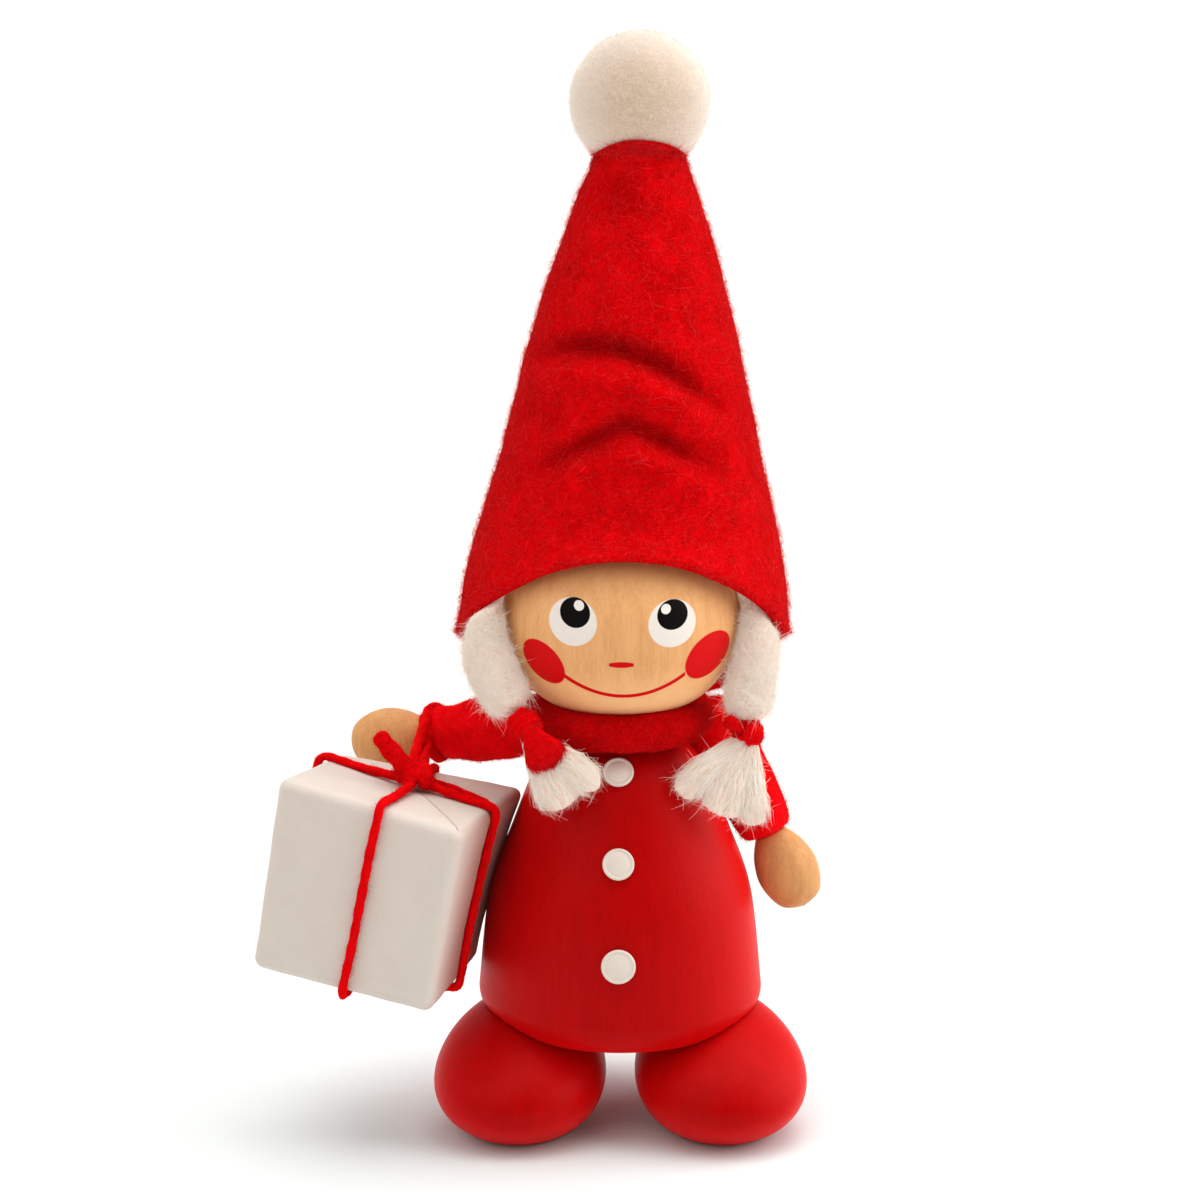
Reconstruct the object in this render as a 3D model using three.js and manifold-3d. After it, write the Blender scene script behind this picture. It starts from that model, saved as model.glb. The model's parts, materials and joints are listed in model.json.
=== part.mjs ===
// A christmas gnome figure: turned wooden body, head and feet, a felt hat with a pompom,
// wool pigtails, wire-cored felt arms and a wrapped gift that hangs from the right wrist.
// Millimetres, +Z up. The figure faces -Y, so its right hand is at -X.
import * as THREE from "three";
import { mergeVertices } from "three/addons/utils/BufferGeometryUtils.js";
import Module from "manifold-3d";

const wasm = await Module();
wasm.setup();

// Driving dimensions

const GAP = 0.3; // clearance between pieces that touch or are glued together

const FOOT_LENGTH = 34;
const FOOT_WIDTH = 25.8;
const FOOT_THICKNESS = 20.6; // of the whole egg, before its sole is cut flat
const FOOT_SOLE_CUT = 2; // how much of the egg the flat sole takes off
const FOOT_TOE_FULLNESS = 0.1; // the toe is wider than the heel by this share
const FOOT_SPREAD = 15; // from the figure's middle to the middle of a foot
const FOOT_FORWARD = 7.4;
const FOOT_SPLAY = 8; // degrees, toes outwards

const BODY_BOTTOM = 14.7;
const BODY_HEIGHT = 47.2;
const BODY_BASE_RADIUS = 21.7;
const BODY_EDGE_ROUNDING = 3.2;
const BODY_HIP_HEIGHT = 20; // above the underside
const BODY_HIP_RADIUS = 20;
const BODY_WAIST_DEPTH = 17.2; // below the top
const BODY_WAIST_RADIUS = 16.6;
const BODY_SHOULDER_DEPTH = 6.7; // below the top
const BODY_SHOULDER_RADIUS = 12.2;
const NECK_RADIUS = 7;
const NECK_HEIGHT = 1.8;

const LEG_DOWEL_RADIUS = 2.5;
const LEG_DOWEL_IN_FOOT = 10; // from the body's underside down
const LEG_DOWEL_IN_BODY = 11;
const LEG_DOWEL_SPREAD = 12.5;
const LEG_DOWEL_FORWARD = 1;

const NECK_DOWEL_RADIUS = 3;
const NECK_DOWEL_IN_BODY = 12;
const NECK_DOWEL_IN_HEAD = 12;

const HEAD_RADIUS = 17.8;
const HEAD_HALF_HEIGHT = 15.6;
const HEAD_SQUARENESS = 2.15; // 2 is an ellipsoid, more is fuller

const BUTTON_DEPTHS = [32.2, 17.3, 5.7]; // below the body's top
const BUTTON_RADII = [2.6, 2.4, 2.35];
const BUTTON_NAMES = ["button_bottom", "button_middle", "button_top"];
const BUTTON_DOME = 0.9;
const BUTTON_RIM = 0.5;
const BUTTON_PEG_RADIUS = 0.9;
const BUTTON_PEG_LENGTH = 4;

const COLLAR_RING_RADIUS = 11;
const COLLAR_HALF_WIDTH = 3.5;
const COLLAR_HALF_HEIGHT = 3.5;
const COLLAR_RISE = 0.9; // the roll's middle above the body's top

const WIRE_RADIUS = 0.6;
const SHOULDER_OUTSIDE_COLLAR = 0.3; // the arm pivots just outside the collar roll
const SHOULDER_BACK = 5.2;
const SHOULDER_DROP = 2.2; // below the body's top
const SLEEVE_RADIUS = 4.1;
const CUFF_RADIUS = 3.8;
const HAND_LENGTH = 12.6;
const HAND_RADIUS = 4.75;
const HAND_NECK_RADIUS = 2.4;
const HAND_WIRE_DEPTH = 5;
const RIGHT_SLEEVE_LENGTH = 16.5;
const RIGHT_ARM_DROOP = 12; // degrees below level
const RIGHT_ARM_SWEEP = 21; // degrees towards the back
const LEFT_SLEEVE_LENGTH = 18.8;
const LEFT_ARM_DROOP = 64;
const LEFT_ARM_SWEEP = -12;

const HAT_WALL = 1.7;
const HAT_TIP_FELT = 5.1; // solid felt above the hat's cavity
const HAT_FOLD_DEPTH = 1.0;
const HAT_FOLD_SWELL = 0.7; // how far the felt bulges between and below the folds
const HAT_BRIM_BACK = 3.6; // brim's middle behind the head's axis
const HAT_BRIM_DROP = 3.8; // brim's middle below the head's middle
const HAT_BRIM_TILT = 38.5; // degrees, front up
const HAT_BRIM_HALF_WIDTH = 25.3;
const HAT_BRIM_HALF_DEPTH = 24.6;
const HAT_BRIM_ASIDE = 0.3; // brim's middle to the left of the head's axis
const HAT_HEIGHT = 73.2; // from the brim's middle to the tip
const HAT_LOW_HALF_WIDTH = 23.5;
const HAT_LOW_HALF_DEPTH = 21.4;
const HAT_LOW_BACK = 4.4; // each ring's middle behind the brim's
const HAT_CREASE_HALF_WIDTH = 19.6;
const HAT_CREASE_HALF_DEPTH = 18;
const HAT_CREASE_BACK = 4.4;
const HAT_WAIST_HALF_WIDTH = 16;
const HAT_WAIST_HALF_DEPTH = 15;
const HAT_WAIST_BACK = 3.4;
const HAT_NECK_HALF_WIDTH = 11.7;
const HAT_NECK_HALF_DEPTH = 11.3;
const HAT_NECK_BACK = 2.4;
const HAT_TIP_RADIUS = 6.4;
const HAT_TIP_BACK = 1.6;
const HAT_TIP_LEAN = 2.4; // the tip leans to the figure's left
const WADDING_CLEARANCE = 0.4;
const WADDING_HEADROOM = 4.4; // free height above the wadding

const POMPOM_RADIUS = 10.2;
const POMPOM_SEAT = 6.5; // the ball's middle above the hat's tip
const THREAD_RADIUS = 0.5;
const THREAD_KNOT_RADIUS = 1.4;
const THREAD_LENGTH = 9;

const HAIR_BAND_HALF_WIDTH = 3.1;
const HAIR_BAND_HALF_THICKNESS = 1.1;
const PIGTAIL_OFF_HEAD = 0.5; // free space between a pigtail and the head
const YARN_RADIUS = 0.85;
const TIE_NECK_RADIUS = 1.7; // the pigtail where it is tied
// Down each pigtail: degrees forward of the side, height from the head's middle and distance off the head.
const RIGHT_PIGTAIL_TURNS = [20, 23, 28, 37, 46];
const RIGHT_PIGTAIL_RISES = [3.6, -3, -8, -12, -15.4];
const RIGHT_PIGTAIL_OFFSETS = [2.4, 3.3, 4.3, 4.2, 3.6];
const LEFT_PIGTAIL_TURNS = [15, 17, 19, 21, 23];
const LEFT_PIGTAIL_RISES = [3, -3, -8, -12, -16.2];
const LEFT_PIGTAIL_OFFSETS = [2.1, 3, 4.2, 5.4, 5.4];
const PIGTAIL_HALF_WIDTHS = [3.9, 4.5, 4.7, 4.4];
const PIGTAIL_HALF_THICKNESSES = [2, 3, 3.8, 3.6];
const TASSEL_BEND = 3; // how far a tassel runs on below its tie before it turns
const TASSEL_HALF_THICKNESS = 1.9;
const TASSEL_TIP_HALF_THICKNESS = 1.4;
const RIGHT_TASSEL_HALF_WIDTH = 5.2;
const RIGHT_TASSEL_REACH = [4.5, -2.6, -10]; // from the tie to the tips
const RIGHT_BOW_PLACE = [0.6, -4.4, -2.8]; // from the tie
const RIGHT_BOW_HALF_SIZE = [2.6, 1.3, 2.6];
const LEFT_TASSEL_HALF_WIDTH = 6.4;
const LEFT_TASSEL_REACH = [-4.4, -3.4, -10];
const LEFT_BOW_PLACE = [-3.2, -3.2, 2.4];
const LEFT_BOW_HALF_SIZE = [2, 1.3, 1.5];

const GIFT_SIZE = 28.6;
const GIFT_CORNER_ROUNDING = 1.6;
const GIFT_EDGE_ROUNDING = 0.9;
const PAPER = 0.35;
const GIFT_ROLL = 9.7; // degrees, leaning towards the body
const GIFT_YAW = -12; // degrees, turned outwards
const GIFT_BODY_CLEARANCE = 0.4; // between the gift's leaning side and the body
const GIFT_FORWARD = 9;
const GIFT_DROP = 2.623; // the gift's top below the wrist that it hangs from
const KNOT_HALF_SIZE = [3, 2.6, 1.9];
const LONG_TAIL_STOPS = [[-2.2, -1, 2.4], [-4, -1.6, 4], [-7.4, -2, 8]]; // from the knot's middle
const SHORT_TAIL_STOPS = [[-3.7, 1.2, 1.2], [-4.8, 1.4, 1.6], [-6.2, 1.4, 1.4]];
const LOOP_RISE = 3; // the hanging loop leaves the wrist towards a point this far above the knot
const LOOP_ASIDE = 0.6; // the loop's ends off the knot's middle
const LOOP_BACK = 1;

// Rounding of the meshes
const TURNED_SIDES = 32;
const SMALL_SIDES = 16;
const YARN_SIDES = 6;
const MERGE = 1e-4;

const UP = new THREE.Vector3(0, 0, 1);
const ACROSS = new THREE.Vector3(1, 0, 0);
const BACK = new THREE.Vector3(0, 1, 0);
const rad = THREE.MathUtils.degToRad;

// Shape tools

// A closed mesh as a manifold solid whose faces point out; triangles collapsed at a pole are dropped.
function solid(geometry) {
  const loose = geometry.index ? geometry.toNonIndexed() : geometry;
  const bare = new THREE.BufferGeometry().setAttribute("position", loose.getAttribute("position"));
  const merged = mergeVertices(bare, MERGE);
  const kept = [];
  for (let i = 0; i < merged.index.count; i += 3) {
    const [a, b, c] = merged.index.array.subarray(i, i + 3);
    if (a !== b && b !== c && c !== a) kept.push(a, b, c);
  }
  const vertProperties = merged.attributes.position.array;
  const build = (triangles) =>
    new wasm.Manifold(new wasm.Mesh({ numProp: 3, vertProperties, triVerts: new Uint32Array(triangles) }));
  const made = build(kept);
  return made.volume() < 0 ? build(kept.reverse()) : made;
}

// A manifold solid back as a three.js geometry.
function geometryOf(made) {
  const { numProp, numVert, vertProperties, triVerts } = made.getMesh();
  const points = new Float32Array(numVert * 3);
  for (let i = 0; i < numVert; i++) {
    points.set(vertProperties.subarray(i * numProp, i * numProp + 3), i * 3);
  }
  return new THREE.BufferGeometry()
    .setAttribute("position", new THREE.BufferAttribute(points, 3))
    .setIndex(new THREE.BufferAttribute(new Uint32Array(triVerts), 1));
}

// One geometry with others cut away from it.
function cut(geometry, ...tools) {
  return geometryOf(tools.reduce((rest, tool) => rest.subtract(solid(tool)), solid(geometry)));
}

// An outline of [radius, height] pairs turned about Z.
function turned(outline, sides = TURNED_SIDES) {
  const points = outline.map(([radius, height]) => new THREE.Vector2(radius, height));
  return new THREE.LatheGeometry(points, sides).rotateX(Math.PI / 2);
}

// Rings with the same number of points joined in order, with a fan closing each end.
function loft(rings) {
  const sides = rings[0].length;
  const points = rings.flat();
  const faces = [];
  for (let ring = 0; ring + 1 < rings.length; ring++) {
    for (let side = 0; side < sides; side++) {
      const a = ring * sides + side;
      const b = ring * sides + ((side + 1) % sides);
      faces.push(a, b, a + sides, b, b + sides, a + sides);
    }
  }
  const first = points.length;
  for (const ring of [rings[0], rings.at(-1)]) {
    const middle = ring.reduce((sum, p) => sum.add(p), new THREE.Vector3()).divideScalar(sides);
    points.push(middle);
  }
  const top = (rings.length - 1) * sides;
  for (let side = 0; side < sides; side++) {
    const next = (side + 1) % sides;
    faces.push(first, next, side, first + 1, top + side, top + next);
  }
  const geometry = new THREE.BufferGeometry().setFromPoints(points).setIndex(faces);
  return geometryOf(solid(geometry));
}

// A tube along a curve. The section at each share t of the way is an ellipse, given by its half sizes along
// a steady side direction and across it; wide(t) and thick(t) may taper.
function sweep(curve, side, wide, thick, steps, sides) {
  const rings = [];
  for (let step = 0; step <= steps; step++) {
    const t = step / steps;
    const middle = curve.getPointAt(t);
    const along = curve.getTangentAt(t);
    const across = side.clone().addScaledVector(along, -side.dot(along)).normalize();
    const out = along.clone().cross(across);
    const ring = [];
    for (let i = 0; i < sides; i++) {
      const angle = (2 * Math.PI * i) / sides;
      ring.push(
        middle
          .clone()
          .addScaledVector(across, wide(t) * Math.cos(angle))
          .addScaledVector(out, thick(t) * Math.sin(angle)),
      );
    }
    rings.push(ring);
  }
  return loft(rings);
}

// Half sizes given at evenly spaced shares of a curve, as a smooth function of the share.
function taper(...sizes) {
  const spline = new THREE.SplineCurve(sizes.map((size, i) => new THREE.Vector2(i, size)));
  return (t) => spline.getPoint(t).y;
}

function ellipsoid(halfX, halfY, halfZ, centre, sides = SMALL_SIDES) {
  return new THREE.SphereGeometry(1, sides, sides / 2 + 2)
    .scale(halfX, halfY, halfZ)
    .translate(centre.x, centre.y, centre.z);
}

// A round bar from one point to another.
function bar(from, to, radius, sides = SMALL_SIDES) {
  const axis = to.clone().sub(from);
  const middle = from.clone().add(to).divideScalar(2);
  return new THREE.CylinderGeometry(radius, radius, axis.length(), sides)
    .applyQuaternion(new THREE.Quaternion().setFromUnitVectors(BACK, axis.normalize()))
    .translate(middle.x, middle.y, middle.z);
}

function piece(name, geometry, material) {
  const mesh = new THREE.Mesh(geometry, material);
  mesh.name = name;
  return mesh;
}

// Materials

const finish = (color, roughness, metalness = 0) =>
  new THREE.MeshStandardMaterial({ color, roughness, metalness });
const redPaint = finish(0xb3060a, 0.5);
const bareWood = finish(0xd9ac78, 0.55);
const whitePaint = finish(0xece6de, 0.4);
const redFelt = finish(0xc4040a, 1);
const whiteFelt = finish(0xe6dccd, 1);
const whiteWool = finish(0xeee6dc, 1);
const redYarn = finish(0xcc0508, 0.95);
const wadding = finish(0xdedbd2, 1);
const wirePlate = finish(0x9a9a98, 0.35, 1);
const wrapPaper = finish(0xdcd4cb, 0.7);

const figure = new THREE.Group();

// Body: a turned bell with a short neck, a bore for the neck dowel and pockets for the feet

const BODY_TOP = BODY_BOTTOM + BODY_HEIGHT;

// The outside of the body from its underside to its neck, grown by a clearance.
function bodyOutside(grow = 0) {
  const flat = BODY_BASE_RADIUS - BODY_EDGE_ROUNDING;
  const edge = new THREE.EllipseCurve(
    flat, BODY_BOTTOM + BODY_EDGE_ROUNDING, BODY_EDGE_ROUNDING, BODY_EDGE_ROUNDING, -Math.PI / 2, 0,
  ).getPoints(4);
  const side = new THREE.SplineCurve([
    new THREE.Vector2(BODY_BASE_RADIUS, BODY_BOTTOM + BODY_EDGE_ROUNDING),
    new THREE.Vector2(BODY_HIP_RADIUS, BODY_BOTTOM + BODY_HIP_HEIGHT),
    new THREE.Vector2(BODY_WAIST_RADIUS, BODY_TOP - BODY_WAIST_DEPTH),
    new THREE.Vector2(BODY_SHOULDER_RADIUS, BODY_TOP - BODY_SHOULDER_DEPTH),
    new THREE.Vector2(NECK_RADIUS, BODY_TOP - NECK_HEIGHT),
  ]).getPoints(14);
  const points = [...edge, ...side.slice(1), new THREE.Vector2(NECK_RADIUS, BODY_TOP)];
  return points.map((p) => [p.x + grow, p.y]);
}

// The body's radius and slope at a height.
function bodySideAt(height) {
  const outline = bodyOutside();
  const i = outline.findIndex((p) => p[1] > height);
  const [[r0, z0], [r1, z1]] = [outline[i - 1], outline[i]];
  const share = (height - z0) / (z1 - z0);
  return { radius: r0 + share * (r1 - r0), slope: Math.atan2(r0 - r1, z1 - z0) };
}

const NECK_BORE = NECK_DOWEL_RADIUS + GAP;
const bodyBlank = turned([
  [0, BODY_BOTTOM],
  ...bodyOutside(),
  [NECK_BORE, BODY_TOP],
  [NECK_BORE, BODY_TOP - NECK_DOWEL_IN_BODY],
  [0, BODY_TOP - NECK_DOWEL_IN_BODY],
]);

// Feet: eggs lying on their sides with a flat sole, let into the body's underside and pinned by dowels

const FOOT_MIDDLE = FOOT_THICKNESS / 2 - FOOT_SOLE_CUT;

function footEgg(sideSign, grow = 0) {
  const egg = new THREE.SphereGeometry(1, 24, 14);
  const points = egg.getAttribute("position");
  for (let i = 0; i < points.count; i++) {
    points.setX(i, points.getX(i) * (1 - FOOT_TOE_FULLNESS * points.getY(i)));
  }
  return egg
    .scale(FOOT_WIDTH / 2 + grow, FOOT_LENGTH / 2 + grow, FOOT_THICKNESS / 2 + grow)
    .rotateZ(sideSign * rad(FOOT_SPLAY))
    .translate(sideSign * FOOT_SPREAD, -FOOT_FORWARD, FOOT_MIDDLE);
}

function legDowel(sideSign, grow = 0) {
  const x = sideSign * LEG_DOWEL_SPREAD;
  const low = new THREE.Vector3(x, -LEG_DOWEL_FORWARD, BODY_BOTTOM - LEG_DOWEL_IN_FOOT - grow);
  const high = new THREE.Vector3(x, -LEG_DOWEL_FORWARD, BODY_BOTTOM + LEG_DOWEL_IN_BODY + grow);
  return bar(low, high, LEG_DOWEL_RADIUS + grow);
}

const underFloor = new THREE.BoxGeometry(4 * FOOT_WIDTH, 4 * FOOT_LENGTH, FOOT_THICKNESS);
underFloor.translate(0, 0, -FOOT_THICKNESS / 2);
for (const [name, sideSign] of [["right", -1], ["left", 1]]) {
  const foot = cut(footEgg(sideSign), underFloor, legDowel(sideSign, GAP));
  figure.add(piece(`foot_${name}`, foot, redPaint));
  figure.add(piece(`leg_dowel_${name}`, legDowel(sideSign), bareWood));
}

// Head: a slightly flattened ball on its dowel

const HEAD_MIDDLE = BODY_TOP + GAP / 2 + HEAD_HALF_HEIGHT;

// Radius of the head's outside at a height above or below its middle.
function headRadiusAt(height, grow = 0) {
  const share = Math.min(1, Math.abs(height - HEAD_MIDDLE) / (HEAD_HALF_HEIGHT + grow));
  return (HEAD_RADIUS + grow) * (1 - share ** HEAD_SQUARENESS) ** (1 / HEAD_SQUARENESS);
}

function headOutside(grow = 0, steps = 14) {
  const outline = [];
  for (let i = 0; i <= steps; i++) {
    const height = HEAD_MIDDLE - (HEAD_HALF_HEIGHT + grow) * Math.cos((Math.PI * i) / steps);
    outline.push([headRadiusAt(height, grow), height]);
  }
  return outline;
}

// The point a stand-off above the head's surface in a direction from its middle.
function aboveHead(direction, standOff) {
  const level = Math.hypot(direction.x, direction.y) / HEAD_RADIUS;
  const upright = Math.abs(direction.z) / HEAD_HALF_HEIGHT;
  const reach = (level ** HEAD_SQUARENESS + upright ** HEAD_SQUARENESS) ** (-1 / HEAD_SQUARENESS);
  return direction.clone().multiplyScalar(reach + standOff).add(new THREE.Vector3(0, 0, HEAD_MIDDLE));
}

const headBore = bar(
  new THREE.Vector3(0, 0, HEAD_MIDDLE - 2 * HEAD_HALF_HEIGHT),
  new THREE.Vector3(0, 0, BODY_TOP + NECK_DOWEL_IN_HEAD + GAP),
  NECK_BORE,
);
figure.add(piece("head_ball", cut(turned(headOutside()), headBore), bareWood));
const neckDowel = bar(
  new THREE.Vector3(0, 0, BODY_TOP - NECK_DOWEL_IN_BODY + GAP),
  new THREE.Vector3(0, 0, BODY_TOP + NECK_DOWEL_IN_HEAD),
  NECK_DOWEL_RADIUS,
);
figure.add(piece("neck_dowel", neckDowel, bareWood));

// Buttons: domed discs on pegs, driven into the body's front

function buttonTurn(depth) {
  const { radius, slope } = bodySideAt(BODY_TOP - depth);
  const place = new THREE.Group();
  place.position.set(0, -radius, BODY_TOP - depth);
  place.rotation.x = Math.PI / 2 - slope;
  place.updateMatrix();
  return place;
}

const pegHole = () =>
  bar(
    new THREE.Vector3(0, 0, -BUTTON_PEG_LENGTH - GAP),
    new THREE.Vector3(0, 0, BUTTON_DOME),
    BUTTON_PEG_RADIUS + GAP,
    SMALL_SIDES / 2,
  );
const pegHoles = BUTTON_DEPTHS.map((depth) => pegHole().applyMatrix4(buttonTurn(depth).matrix));
BUTTON_DEPTHS.forEach((depth, i) => {
  const radius = BUTTON_RADII[i];
  const dome = new THREE.EllipseCurve(0, GAP + BUTTON_RIM, radius, BUTTON_DOME, 0, Math.PI / 2);
  const outline = [
    [0, -BUTTON_PEG_LENGTH],
    [BUTTON_PEG_RADIUS, -BUTTON_PEG_LENGTH],
    [BUTTON_PEG_RADIUS, GAP],
    [radius, GAP],
    ...dome.getPoints(4).map((p) => [Math.max(0, p.x), p.y]),
  ];
  const place = buttonTurn(depth);
  place.add(piece(BUTTON_NAMES[i], turned(outline, SMALL_SIDES), whitePaint));
  figure.add(place);
});

// Arms: felt sleeves over wires, with wooden egg hands; each arm pivots at its shoulder

const COLLAR_OUTER = COLLAR_RING_RADIUS + COLLAR_HALF_WIDTH;
const SHOULDER_HEIGHT = BODY_TOP - SHOULDER_DROP;
const WIRE_BORE = WIRE_RADIUS + GAP;

// A shoulder's place and the direction its arm points in.
function armOf(sideSign, droop, sweepBack, sleeveLength) {
  const level = Math.cos(rad(droop));
  const direction = new THREE.Vector3(
    sideSign * level * Math.cos(rad(sweepBack)),
    level * Math.sin(rad(sweepBack)),
    -Math.sin(rad(droop)),
  );
  const shoulder = new THREE.Vector3(
    sideSign * (COLLAR_OUTER + SHOULDER_OUTSIDE_COLLAR), SHOULDER_BACK, SHOULDER_HEIGHT,
  );
  const at = (distance) => shoulder.clone().addScaledVector(direction, distance);
  return { direction, shoulder, sleeveLength, at };
}

const rightArm = armOf(-1, RIGHT_ARM_DROOP, RIGHT_ARM_SWEEP, RIGHT_SLEEVE_LENGTH);
const leftArm = armOf(1, LEFT_ARM_DROOP, LEFT_ARM_SWEEP, LEFT_SLEEVE_LENGTH);

function addArm(name, arm) {
  const place = new THREE.Group();
  place.position.copy(arm.shoulder);
  place.quaternion.setFromUnitVectors(UP, arm.direction);
  const start = -Math.sqrt(SLEEVE_RADIUS ** 2 - WIRE_BORE ** 2);
  const startAngle = Math.asin(start / SLEEVE_RADIUS);
  const ball = new THREE.EllipseCurve(0, 0, SLEEVE_RADIUS, SLEEVE_RADIUS, startAngle, 0);
  const sleeve = [
    ...ball.getPoints(5).map((p) => [p.x, p.y]),
    [SLEEVE_RADIUS, arm.sleeveLength / 2],
    [CUFF_RADIUS, arm.sleeveLength],
    [WIRE_BORE, arm.sleeveLength],
  ];
  place.add(piece(`arm_sleeve_${name}`, turned([...sleeve, sleeve[0]], SMALL_SIDES), redFelt));

  const handStart = arm.sleeveLength + GAP;
  const wireEnd = handStart + HAND_WIRE_DEPTH;
  const along = (distance) => UP.clone().multiplyScalar(distance);
  const wire = bar(along(start), along(wireEnd), WIRE_RADIUS, YARN_SIDES);
  place.add(piece(`arm_wire_${name}`, wire, wirePlate));

  const egg = new THREE.SplineCurve([
    new THREE.Vector2(HAND_NECK_RADIUS, handStart),
    new THREE.Vector2(HAND_RADIUS * 0.86, handStart + HAND_LENGTH * 0.24),
    new THREE.Vector2(HAND_RADIUS, handStart + HAND_LENGTH * 0.55),
    new THREE.Vector2(HAND_RADIUS * 0.7, handStart + HAND_LENGTH * 0.88),
    new THREE.Vector2(0, handStart + HAND_LENGTH),
  ]).getPoints(10);
  const hand = [
    [0, wireEnd + GAP],
    [WIRE_BORE, wireEnd + GAP],
    [WIRE_BORE, handStart],
    ...egg.map((p) => [Math.max(0, p.x), p.y]),
  ];
  place.add(piece(`hand_${name}`, turned(hand, SMALL_SIDES), bareWood));
  figure.add(place);
}

addArm("right", rightArm);
addArm("left", leftArm);

// Shoulder wire: the fixed middle of the arm wire, through a cross hole behind the neck dowel

const SHOULDER_WIRE_HALF = COLLAR_OUTER + SHOULDER_OUTSIDE_COLLAR - SLEEVE_RADIUS - GAP;
const shoulderWireEnd = (sideSign, extra) =>
  new THREE.Vector3(sideSign * (SHOULDER_WIRE_HALF + extra), SHOULDER_BACK, SHOULDER_HEIGHT);
const shoulderWire = bar(shoulderWireEnd(-1, 0), shoulderWireEnd(1, 0), WIRE_RADIUS, YARN_SIDES);
const holeEnd = (sideSign) => shoulderWireEnd(sideSign, SLEEVE_RADIUS);
const crossHole = bar(holeEnd(-1), holeEnd(1), WIRE_BORE, YARN_SIDES);
figure.add(piece("shoulder_wire", shoulderWire, wirePlate));

const bodyCuts = [crossHole, ...pegHoles];
for (const sideSign of [-1, 1]) bodyCuts.push(footEgg(sideSign, GAP), legDowel(sideSign, GAP));
figure.add(piece("body_bell", cut(bodyBlank, ...bodyCuts), redPaint));

// Collar: a felt roll laid round the neck, hollowed where the shoulders turn in it

const collarMiddle = BODY_TOP + COLLAR_RISE;
const collarSection = new THREE.EllipseCurve(
  COLLAR_RING_RADIUS, collarMiddle, COLLAR_HALF_WIDTH, COLLAR_HALF_HEIGHT,
).getPoints(12);
const shoulderSocket = (arm) =>
  ellipsoid(SLEEVE_RADIUS + GAP, SLEEVE_RADIUS + GAP, SLEEVE_RADIUS + GAP, arm.shoulder);
const bodyGrown = turned([[0, BODY_BOTTOM], ...bodyOutside(GAP), [0, BODY_TOP]]);
const headGrown = turned(headOutside(GAP));
const collar = cut(
  turned(collarSection.map((p) => [p.x, p.y])),
  bodyGrown, headGrown, crossHole, shoulderSocket(rightArm), shoulderSocket(leftArm),
);
figure.add(piece("collar_roll", collar, redFelt));

// Hat: a felt cone, tilted back over the head, that bends upright above it and creases in front

const HAT_STEPS = 22;
const HAT_SIDES = 36;
const brimMiddle = new THREE.Vector3(HAT_BRIM_ASIDE, HAT_BRIM_BACK, HEAD_MIDDLE - HAT_BRIM_DROP);
// Rings up the hat: shares of its height and lean, how far back, then tilt, half width and half depth.
const HAT_STATIONS = [
  [0, 0, 0, HAT_BRIM_TILT, HAT_BRIM_HALF_WIDTH, HAT_BRIM_HALF_DEPTH],
  [0.167, 0.25, HAT_LOW_BACK, 22, HAT_LOW_HALF_WIDTH, HAT_LOW_HALF_DEPTH],
  [0.372, 0.5, HAT_CREASE_BACK, 8, HAT_CREASE_HALF_WIDTH, HAT_CREASE_HALF_DEPTH],
  [0.584, 0.65, HAT_WAIST_BACK, 3, HAT_WAIST_HALF_WIDTH, HAT_WAIST_HALF_DEPTH],
  [0.79, 0.85, HAT_NECK_BACK, 0, HAT_NECK_HALF_WIDTH, HAT_NECK_HALF_DEPTH],
  [1, 1, HAT_TIP_BACK, 0, HAT_TIP_RADIUS, HAT_TIP_RADIUS],
];
const hatSpine = new THREE.CatmullRomCurve3(
  HAT_STATIONS.map(([up, lean, back]) =>
    brimMiddle.clone().add(new THREE.Vector3(lean * HAT_TIP_LEAN, back, up * HAT_HEIGHT))),
);
const hatSection = new THREE.CatmullRomCurve3(
  HAT_STATIONS.map(([, , , tilt, wide, deep]) => new THREE.Vector3(tilt, wide, deep)),
);

// Two creases run across the front, with the felt bulging between and below them.
const bump = (t, middle, width) => Math.exp(-(((t - middle) / width) ** 2));
function hatFold(t, angle) {
  const front = Math.max(0, -Math.sin(angle)) ** 1.5;
  const slant = 0.03 * Math.cos(angle);
  const dents = bump(t + slant, 0.585, 0.04) + 0.8 * bump(t - slant, 0.39, 0.035);
  const swells = bump(t, 0.49, 0.05) + bump(t, 0.3, 0.05);
  return front * (HAT_FOLD_SWELL * swells - HAT_FOLD_DEPTH * dents);
}

function hatRing(t, inset, folded) {
  const middle = hatSpine.getPoint(t);
  const { x: tilt, y: wide, z: deep } = hatSection.getPoint(t);
  const backward = new THREE.Vector3(0, Math.cos(rad(tilt)), -Math.sin(rad(tilt)));
  const ring = [];
  for (let i = 0; i < HAT_SIDES; i++) {
    const angle = (2 * Math.PI * i) / HAT_SIDES;
    const grow = (folded ? hatFold(t, angle) : 0) - inset;
    ring.push(
      middle
        .clone()
        .addScaledVector(ACROSS, (wide + grow) * Math.cos(angle))
        .addScaledVector(backward, (deep + grow) * Math.sin(angle)),
    );
  }
  return ring;
}

function hatLoft(from, to, steps, inset, folded) {
  const rings = [];
  for (let step = 0; step <= steps; step++) {
    rings.push(hatRing(from + ((to - from) * step) / steps, inset, folded));
  }
  return rings;
}

const tip = hatSpine.getPoint(1);
const pomMiddle = tip.clone().addScaledVector(UP, POMPOM_SEAT);
const pomSphere = (grow) =>
  ellipsoid(POMPOM_RADIUS + grow, POMPOM_RADIUS + grow, POMPOM_RADIUS + grow, pomMiddle, 24);

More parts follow.
